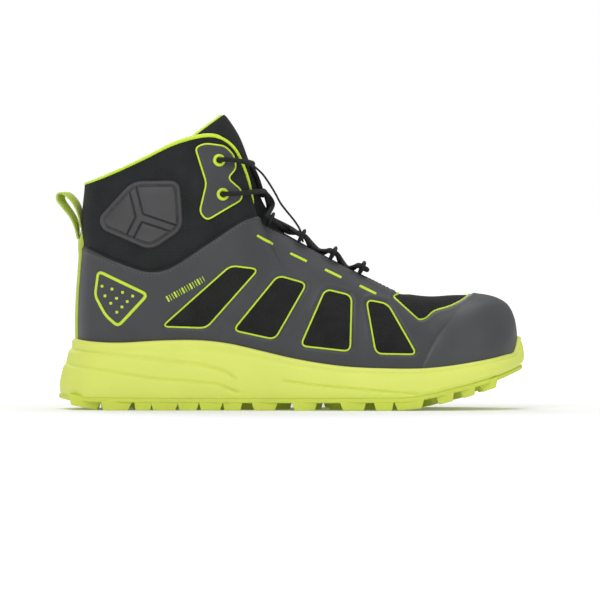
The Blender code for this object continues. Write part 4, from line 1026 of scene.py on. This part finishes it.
def throat_frame(station, side):
    """On the throat's edge: the point, the direction towards the toe, and up and away from the edge."""
    r = ring_at(station, side)
    step = 0.05 if side < 0 else -0.05
    point = last_point(r, 1)
    along = (last_point(r + step, 1) - last_point(r - step, 1)).normalized()
    flat_along = Vector((along.x, 0, along.z)).normalized()
    return point, along, Vector((-flat_along.z, 0, flat_along.x))


def loop_centre(index, side):
    point, along, up = throat_frame(LOOP_STATIONS[index], side)
    return point + up * LOOP_LIFT + Vector((0, side, 0)), along, up


def crossing(station, lift):
    """The lace's centre where a strand crosses the tongue's ridge."""
    ridge = ridge_point(station)
    ahead = ridge_point(station + 0.1) - ridge_point(station - 0.1)
    up = Vector((-ahead.z, 0, ahead.x)).normalized()
    return ridge + up * (LACE_R + 0.5 + lift)


def through_loop(index, side):
    centre, along, _ = loop_centre(index, side)
    return [centre - along * 3.2, centre, centre + along * 3.2]


def strand(side, over):
    """Half of the lace, from one side's upper eyelets down to the bottom bar. over says if it crosses on top first."""
    points = []
    stations = (9.05, *((a + b) / 2 for a, b in zip(LOOP_STATIONS, LOOP_STATIONS[1:])))
    for index, station in enumerate(stations):
        side = -side
        points.append(crossing(station, 2 * LACE_R + 0.5 if over else 0))
        points.extend(through_loop(index, side))
        over = not over
    return points


def over_edge(station, side):
    """Where the lace passes round the collar's front edge."""
    r = ring_at(station, side)
    return offset_point(r, 1, 4.4) + Vector((2.0, 0, 0.5))


def eyelet_run(frames, side):
    """From the tail under the keeper, through both eyelets of one side, to the front of the collar."""
    (low, low_normal), (high, high_normal) = frames[side]
    forward = Vector((1, 0, 0))
    tails = [crossing(station, 0) + Vector((0, side * 2.1, 0)) for station in (8.6, 8.15, 7.7)]
    inside = COLLAR_THIN + LINING + GAP + 2.4
    return [
        *tails,
        Vector((-25.5, side * 9, 159.5)),
        over_edge(6.75, side),
        high + high_normal * 5.2 + forward * 7,
        high + high_normal * 4.6 + forward * 1.2,
        high + high_normal * 2.0,
        high - high_normal * 1.2,
        high - high_normal * 4.0,
        high - high_normal * inside + (low - high).normalized() * 2.0,
        low - low_normal * inside + (high - low).normalized() * 2.0,
        low - low_normal * 4.0,
        low - low_normal * 1.2,
        low + low_normal * 2.0,
        low + low_normal * 4.6 + forward * 1.2,
        low + low_normal * 5.2 + forward * 8,
        over_edge(7.8, side),
        Vector((-16.5, side * 10, 142)),
    ]


def tongue_block(name, outer, inner, finish):
    """A closed piece between two grids, blended from the boot to the tongue's free top."""
    count, across = outer.shape[:2]
    size = count * across
    index = np.arange(size).reshape(count, across)
    a, b, c, d = (part.reshape(-1) for part in (index[:-1, :-1], index[1:, :-1], index[1:, 1:], index[:-1, 1:]))
    faces = np.stack([a, b, c, d], 1).tolist() + (np.stack([a, d, c, b], 1) + size).tolist()
    for line in (index[:, 0], index[:, -1], index[0], index[-1]):
        faces += [(a, b, b + size, a + size) for a, b in zip(line.tolist(), line[1:].tolist())]
    made = sharpen(closed_mesh(name, np.concatenate([outer.reshape(-1, 3), inner.reshape(-1, 3)]), faces, finish,
                               body=None), 60)
    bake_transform(made)
    return made


def make_tongue():
    stations = np.concatenate([np.arange(12.6, 5.0, -0.07), np.arange(5.0, 4.69, -0.05)])
    grid = np.array([[list(p) for p in tongue_row(s)] for s in stations])
    count, across = grid.shape[:2]
    normal = np.cross(np.gradient(grid, axis=0), np.gradient(grid, axis=1))
    normal /= np.linalg.norm(normal, axis=2, keepdims=True)
    middle = grid.mean(1, keepdims=True) - np.array([20, 0, 20])
    normal *= np.sign((normal * (grid - middle)).sum(2, keepdims=True))
    edge = (np.minimum(np.arange(across), across - 1 - np.arange(across)) / (across // 2))[None, :, None]
    thick = TONGUE_THICK * (0.35 + 0.65 * ss(0, 0.6, edge))
    end = ss(0, 5, count - 1 - np.arange(count))[:, None, None]
    top = grid + normal * (0.5 * ss(0.05, 0.5, edge) - 0.9 * (1 - end))
    mid = grid - normal * thick * 0.62
    low = grid - normal * (thick * (0.35 + 0.65 * end) + 0.2)
    cover = tongue_block("tongue_cover", top, mid, "tongue")
    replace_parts(cover, "tongue", "tongue_tab")
    ahead = grid[-1] - grid[-4]
    ahead /= np.linalg.norm(ahead, axis=1, keepdims=True)
    brow = smooth_path(0.5 * (mid[-1] + top[-1]) + ahead * 0.7, 2)
    tube_mesh("tongue_edge", resampled(brow, 0.8), 1.6, "line", body="tongue_tab")
    tongue_block("tongue_lining", mid - normal * 0.05, low - normal * 0.6, "mesh")


def rounded_power(value, exponent):
    """A sine or cosine bent towards a square section by an exponent under 1."""
    return math.copysign(abs(value) ** exponent, value)


def strap_mesh(name, route, half, thick, finish, spacing, size, square, body="boot", twist=0.0):
    """A flat strap along a route of (x, z), twisted about the upright in its middle."""
    spots = resampled(smooth_path([(x, 0, z) for x, z in route], 8), spacing)
    points = []
    for i, spot in enumerate(spots):
        along = (spots[min(i + 1, len(spots) - 1)] - spots[max(i - 1, 0)]).normalized()
        turn = twist * math.sin(math.pi * i / (len(spots) - 1)) ** 0.8
        over = Vector((math.sin(turn), math.cos(turn), 0))
        rise = over.cross(along).normalized()
        for angle in (turn_angle(j, size) for j in range(size)):
            y = rounded_power(math.cos(angle), square[0]) * half
            points.append(spot + over * y + rise * rounded_power(math.sin(angle), square[1]) * thick / 2)
    return closed_mesh(name, points, loft_faces(len(spots), size, "caps"), finish, body)


def make_keeper():
    made = strap_mesh("tongue_strap", KEEPER, KEEPER_HALF_WIDTH, KEEPER_THICK * 1.5, "binding", 1.2, 10, (0.35, 0.6))
    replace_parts(made, "tongue_keeper")


def make_loops():
    for side, word in SIDES:
        for index in range(len(LOOP_STATIONS)):
            centre, along, up = loop_centre(index, side)
            cross = along.cross(up).normalized()
            points = []
            for angle in (turn_angle(i, 28) for i in range(28)):
                stretch = 1.0 + 0.12 * (1 - math.cos(angle))
                points.append(centre + (up * math.cos(angle) * stretch + cross * math.sin(angle)) * LOOP_R)
            made = tube_mesh(f"cord_loop_{word}_{index + 1}", points, 1.0, "loop", closed=True)
            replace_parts(made, f"lace_loop_{word}_{index + 1}")


def tree_of(name):
    mesh = bpy.data.objects[name].data
    points = [tuple(v.co * 1000) for v in mesh.vertices]
    return BVHTree.FromPolygons(points, [tuple(p.vertices) for p in mesh.polygons])


def make_lace(frames):
    """The lace: routed, pushed out of the tongue, film and collar, then smoothed. Returns its length."""
    halves = [eyelet_run(frames, side) + strand(side, side > 0) for side in (-1, 1)]
    path = smooth_path(halves[0] + halves[1][::-1], 2)
    trees = [tree_of(name) for name in ("tongue_cover", "film", "collar")]
    clear = LACE_R + 0.35
    for i, point in enumerate(path):
        from_end = min(i, len(path) - 1 - i) / 2
        if INNER_RUN[0] < from_end < INNER_RUN[1]:
            continue
        for tree in trees:
            hit, normal, _, distance = tree.find_nearest(point)
            away = point - hit
            buried = away.dot(normal) < -0.7 * distance and distance < 9
            if buried or distance < clear:
                point = hit + (normal if buried else away.normalized()) * clear
        path[i] = point
    fine = resampled(smooth_path(path, 4), 0.8)
    for _ in range(6):
        fine = [fine[0]] + [(a + b * 2 + c) / 4 for a, b, c in zip(fine, fine[1:], fine[2:])] + [fine[-1]]
    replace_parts(tube_mesh("lace_cord", fine, 1.62, "lace", 14), "lace")
    return sum((b - a).length for a, b in zip(fine, fine[1:]))


# ---- lining, piping and heel -------------------------------------------------------------------------
def make_inside():
    BASE.add("inner", BASE.get("v") - 0.04)
    part = BASE.cut("inner")
    station = part.get("station")
    stiff, pad = lining_depths(station)
    blend_in = ss(-8, 4, -part.get("border")) * (station < THROAT)
    depth = stiff * (1 - blend_in) + pad * blend_in
    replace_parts(shell("lining_mesh", part, -depth, -depth - LINING, "mesh"), "lining")


def make_piping():
    """The soft lime roll along the collar's top edge, round the heel."""
    points, size = [], 14
    stations = np.arange(-5.6, 5.61, 0.06)
    for r in stations:
        station = station_of(r)
        normal = last_normal(r % RING, 0.97)
        normal.z = 0
        normal.normalize()
        depth = float(pad_depth(station)) + GAP + LINING
        share = 0.5 + 0.5 * smoothstep(5.7, 5.2, station)
        centre = last_point(r % RING, 1) + normal * (float(heel_fill(station, 1.0)) - depth / 2)
        for angle in (turn_angle(j, size) for j in range(size)):
            across = rounded_power(math.cos(angle), 0.7) * (depth / 2 + 0.5)
            up = math.sin(angle) * (1.5 if math.sin(angle) > 0 else 1.3) * share + 0.2
            points.append(centre + normal * across + Vector((0, 0, up)))
    made = closed_mesh("collar_edge", points, loft_faces(len(stations), size, "caps"), "line")
    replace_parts(made, "collar_piping")


def make_heel():
    loop = strap_mesh("pull_tab", PULL_LOOP, PULL_HALF_WIDTH, 1.5, "web", 0.9, 12, (0.25, 0.5), "pull_loop",
                      math.radians(20))
    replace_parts(loop, "pull_loop")
    BASE.add("strip", 7.6 - np.abs(BASE.data[:, 1]) + np.where(BASE.get("station") < 2, 0, -60))
    BASE.add("strip_top", 119.0 - BASE.data[:, 2])
    part = BASE.cut("strip").cut("strip_top").cut("rim", -2.0)
    edge = np.minimum(part.get("strip"), part.get("strip_top"))
    tab = 1.3 * np.exp(-((part.data[:, 2] - 109) / 6.5) ** 2)
    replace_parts(shell("heel_webbing", part, tab + 1.5 + 1.0 * ss(0, 1.0, edge), 0.6, "web"), "heel_strip")


# ---- the sole ----------------------------------------------------------------------------------------
SOLE_STEPS, WALL_STEPS, FIRST_WALL_ROW = 12, 60, 6
LATERAL_LUGS = (  # from x to x along the outer edge
    (-144, -126), (-123, -105.5), (-101, -92), (-90, -75), (-72.5, -61.5), (-58.5, -46), (-43, -33), (-24, -10),
    (2.5, 16), (34, 48), (56, 66), (69.5, 86), (97, 105.5), (113, 119.5), (125.5, 134),
)
# Grooves in the sole's side, as (x, z)
LINE_A = ((-143, 39.2), (-100, 34.6), (-59, 29.5), (-43, 25.5), (-37.5, 21.5))
LINE_B = ((-143, 29), (-118, 25), (-92, 20.5), (-48, 17), (-35, 12))
LINE_D = ((-4, 19.2), (20, 16.2), (45.6, 14), (82, 11))
GROOVES = ((LINE_A, 1.9, 0.95), (LINE_B, 1.8, 0.95), (LINE_D, 1.6, 0.9))  # line, depth, half width


def wall_lines(r):
    """The sole's side at r: the rim's v, the way out, and four points from its top to its bottom."""
    rim = rim_v(r)
    foot = offset_point(r, 0, WALL)
    station = station_of(r)
    swell = 5.5 + 4.0 * (1 - smoothstep(0, 3, station)) + 1.0 * smoothstep(14, 17, station)
    outward = last_normal(r, 0)
    outward.z = 0
    outward.normalize()
    top = offset_point(r, rim, WALL + SOLE_LIP + 1.4 * smoothstep(15.2, 16.8, station))
    bottom = height(PLATE_LINE, foot.x) + OUTSOLE_PLATE + GAP
    heel = 1 - smoothstep(0, 3, station)
    bulge = foot + outward * (swell - 0.3 - 2.4 * heel)
    bulge.z = bottom + (top.z - bottom) * 0.55
    low = foot + outward * (swell + 0.2 * heel)
    low.z = bottom + (top.z - bottom) * 0.2
    end = foot + outward * (swell - 2 + 1.6 * heel)
    end.z = bottom
    top.z -= 0.6
    return rim, outward, [top, bulge, low, end]


def make_sole():
    """The midsole. Returns the lower edge of its wall and the ways out there, for the outsole."""
    count = RING * SOLE_STEPS
    loops, outs = [], []
    for k in range(count):
        r = k / SOLE_STEPS
        rim, outward, wall = wall_lines(r)
        row = [offset_point(r, rim * v_share, lift) + Vector((0, 0, rise)) for v_share, lift, rise in (
            (0, 0.2, -2.0), (0.5, 0.2, 0), (1, 0.6, -0.8), (1, WALL - 0.3, -0.2), (1, WALL + 0.6, 0.05),
            (1, WALL + SOLE_LIP - 0.5, -0.05),
        )]
        row += [open_value(wall, 3 * i / WALL_STEPS) for i in range(WALL_STEPS + 1)]
        row.append(wall[-1] - outward * 9)
        outs.append(outward)
        loops.append([list(p) for p in row])
    grid, outs = np.array(loops), np.array([list(o) for o in outs])
    flat_grid = grid.reshape(-1, 3)
    x, z = flat_grid[:, 0], flat_grid[:, 2]
    groove = sum(deep * np.exp(-(path_distance(flat_grid, line) / wide) ** 2) for line, deep, wide in GROOVES)
    heel = 1 - ss(-52, -34, x)
    steps = sum(1.1 * heel * (1 - ss(-0.6, 1.2, z - np.interp(x, *zip(*line)))) for line in (LINE_B, LINE_A))
    shift = (steps - groove).reshape(grid.shape[:2])
    below_top = np.arange(grid.shape[1]) - FIRST_WALL_ROW
    shift += 0.35 * np.exp(-((below_top - 3) / 2.2) ** 2) - 0.45 * np.exp(-((below_top - 8) / 2.0) ** 2)
    rows = slice(FIRST_WALL_ROW, FIRST_WALL_ROW + WALL_STEPS + 1)
    grid[:, rows] += (outs[:, None, :] * shift[:, :, None])[:, rows]
    made = closed_mesh("sole_wall", grid.reshape(-1, 3), loft_faces(count, grid.shape[1], "joined"), "sole")
    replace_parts(made, "midsole")
    return grid[:, FIRST_WALL_ROW + WALL_STEPS], outs


PLATE_RINGS = ((-3.0, 0.02), (0.5, 0.02), (0.9, 0.5), (0.9, 2.4), (0.1, 3.0))  # outwards and down from the wall
LUG_LEVELS = ((1.0, 1.2), (0.98, -0.6), (0.8, -LUG))  # share of the lug's size, height over the plate
LUG_WIDTH, LUG_INSET, LUG_BEVEL = 13, 6.2, 0.7


def add_plate(bm, ends, outs):
    """The outsole's plate, a stack of rings that follow the lower edge of the wall."""
    count, half = len(ends), len(ends) // 2
    rings = []
    for shift, drop in PLATE_RINGS:
        place = ends + outs * shift
        place[:, 2] = ends[:, 2] - drop
        rings.append([bm.verts.new(p) for p in place])
    for low, high in zip(rings, rings[1:]):
        for k in range(count):
            n = (k + 1) % count
            bm.faces.new((low[k], low[n], high[n], high[k]))
    for ring in (rings[0], rings[-1]):
        bm.faces.new((ring[0], ring[1], ring[count - 1]))
        bm.faces.new((ring[half], ring[half - 1], ring[half + 1]))
        for k in range(1, half - 1):
            bm.faces.new((ring[k], ring[k + 1], ring[count - k - 1], ring[count - k]))


def add_lug(bm, x, y, length, width, turn, slant, outer=0):
    """A lug that narrows downwards. outer is the side, -1 or 1, that lies on the sole's edge and stays upright."""
    plate = height(PLATE_LINE, x)
    corners = []
    for share, rise in LUG_LEVELS:
        for sx, sy in ((-1, -1), (1, -1), (1, 1), (-1, 1)):
            dx = sx * length / 2 * share + slant * (1 - share)
            dy = sy * width / 2 * (share if sy != outer else 1 + (1 - share) * -0.25)
            px = x + dx * math.cos(turn) - dy * math.sin(turn)
            py = y + dx * math.sin(turn) + dy * math.cos(turn)
            corners.append(bm.verts.new((px, py, max(height(PLATE_LINE, px) + rise, 0))))
    for face in loft_faces(len(LUG_LEVELS), 4, "caps"):
        bm.faces.new([corners[i] for i in face])


def make_outsole(ends, outs):
    half = len(ends) // 2
    edges = ends[half:], ends[:half + 1]  # medial, lateral

    def widths(x):
        return [edge[np.argmin(np.abs(edge[:, 0] - x))][1] for edge in edges]

    lugs = bmesh.new()
    for low, high in LATERAL_LUGS:
        x = (low + high) / 2
        add_lug(lugs, x, widths(x)[1] + LUG_INSET, high - low + 3, LUG_WIDTH, 0, x / 40, -1)
    for x, length, slant in SIDE_LUGS:
        medial, lateral = widths(x)
        add_lug(lugs, x, medial - LUG_INSET, length + 1, LUG_WIDTH, 0, slant, 1)
        room, middle = (medial - lateral) / 2 - 15, (medial + lateral) / 2
        for side in (-1, 1) if room > 11 else ():
            add_lug(lugs, x + 5, middle + side * room * 0.47, length * 0.78, room * 0.6, side * 0.5, slant)
    bmesh.ops.recalc_face_normals(lugs, faces=lugs.faces)
    bmesh.ops.bevel(lugs, geom=list(lugs.edges), offset=LUG_BEVEL, segments=2, affect="EDGES", profile=0.6)
    scrap = bpy.data.meshes.new("lugs")
    lugs.to_mesh(scrap)
    lugs.free()
    bm = bmesh.new()
    add_plate(bm, ends, outs)
    bm.from_mesh(scrap)
    bpy.data.meshes.remove(scrap)
    bm.verts.index_update()
    # the lug finish is the darker copy of the lime rubber, painted shade under the sole
    made = closed_mesh("outsole_lugs", [v.co for v in bm.verts], [[v.index for v in f.verts] for f in bm.faces], "lug")
    bm.free()
    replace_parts(sharpen(made, 40), "outsole")


# ---- inner parts, stage, light and camera ------------------------------------------------------------
def dress_inner():
    for name, material in INNER_FINISH.items():
        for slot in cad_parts[name].material_slots:
            slot.material = material


WORLD_SEEN, WORLD_LIGHT = 1.0, 0.36
FLOOR_SIZE, FLOOR_WHITE, FLOOR_ROUGH = 9, 0.86, 0.9
FLOOR_GLOW = {"From Min": 0.15, "From Max": 1.1, "To Min": 0.10, "To Max": 0.75}  # by metres from the middle
LIGHTS = {  # name: place, aim, size, watts
    "key": ((-0.5, -1.6, 1.5), (0, 0, 0.08), 1.2, 15),
    "fill": ((1.5, -1.2, 0.8), (0, 0, 0.08), 1.2, 4.5),
    "top": ((0.0, 0.3, 1.9), (0, 0, 0.1), 1.4, 15),
    "back": ((-0.6, 1.6, 1.2), (0, 0, 0.1), 1.2, 9),
}
CAMERA_TARGET, CAMERA_TILT, CAMERA_AWAY = Vector((0.0062, -0.045, 0.0725)), math.radians(1.0), 9.0
CAMERA_LENS, CAMERA_SENSOR = 823.8, 36


def make_world(scene):
    """White to the camera, and dimmer as light."""
    world = bpy.data.worlds.new("studio")
    scene.world = world
    world.use_nodes = True
    tree = world.node_tree
    seen, ambient = tree.nodes["Background"], tree.nodes.new("ShaderNodeBackground")
    for node, strength in ((seen, WORLD_SEEN), (ambient, WORLD_LIGHT)):
        node.inputs["Color"].default_value = (1, 1, 1, 1)
        node.inputs["Strength"].default_value = strength
    rays, mix = tree.nodes.new("ShaderNodeLightPath"), tree.nodes.new("ShaderNodeMixShader")
    for i, output in enumerate((rays.outputs["Is Camera Ray"], ambient.outputs[0], seen.outputs[0])):
        tree.links.new(output, mix.inputs[i])
    tree.links.new(mix.outputs[0], tree.nodes["World Output"].inputs["Surface"])


def make_floor(scene):
    """A white floor that glows more with distance, so that it meets the background with no edge."""
    mesh = bpy.data.meshes.new("floor")
    mesh.from_pydata([(x * FLOOR_SIZE, y * FLOOR_SIZE, 0) for x, y in ((-1, -1), (1, -1), (1, 1), (-1, 1))], [],
                     [(0, 1, 2, 3)])
    floor = bpy.data.objects.new("floor", mesh)
    scene.collection.objects.link(floor)
    white = bpy.data.materials.new("floor_white")
    white.use_nodes = True
    nodes, links = white.node_tree.nodes, white.node_tree.links
    shader = nodes["Principled BSDF"]
    shader.inputs["Base Color"].default_value = (FLOOR_WHITE, FLOOR_WHITE, FLOOR_WHITE, 1)
    shader.inputs["Roughness"].default_value = FLOOR_ROUGH
    shader.inputs["Emission Color"].default_value = (1, 1, 1, 1)
    place, reach, glow = (nodes.new(f"ShaderNode{kind}") for kind in ("TexCoord", "VectorMath", "MapRange"))
    reach.operation = "LENGTH"
    for name, value in FLOOR_GLOW.items():
        glow.inputs[name].default_value = value
    links.new(place.outputs["Object"], reach.inputs[0])
    links.new(reach.outputs["Value"], glow.inputs["Value"])
    links.new(glow.outputs["Result"], shader.inputs["Emission Strength"])
    mesh.materials.append(white)


def put(scene, name, data, place, aim):
    """An object that looks from a place at an aim."""
    made = bpy.data.objects.new(name, data)
    made.location = place
    made.rotation_euler = (Vector(aim) - Vector(place)).to_track_quat("-Z", "Y").to_euler()
    scene.collection.objects.link(made)
    return made


def make_stage():
    scene = bpy.context.scene
    scene.view_settings.view_transform = "Standard"
    make_world(scene)
    make_floor(scene)
    for name, (place, aim, size, power) in LIGHTS.items():
        light = bpy.data.lights.new(name, "AREA")
        light.size, light.energy = size, power
        put(scene, name, light, place, aim)
    camera = bpy.data.cameras.new("camera")
    camera.sensor_width, camera.lens, camera.clip_end = CAMERA_SENSOR, CAMERA_LENS, 50
    back = Vector((0, -math.cos(CAMERA_TILT), math.sin(CAMERA_TILT))) * CAMERA_AWAY
    scene.camera = put(scene, "camera", camera, CAMERA_TARGET + back, CAMERA_TARGET)


make_stage()
make_upper()
collar_surface = make_collar()
stitch_rows()
make_details(collar_surface)
make_bindings()
eyelet_rings = make_eyelets(collar_surface)
make_tongue()
make_keeper()
make_loops()
print("lace length", make_lace(eyelet_rings))
make_inside()
make_piping()
make_heel()
sole_ends, sole_outs = make_sole()
make_outsole(sole_ends, sole_outs)
dress_inner()
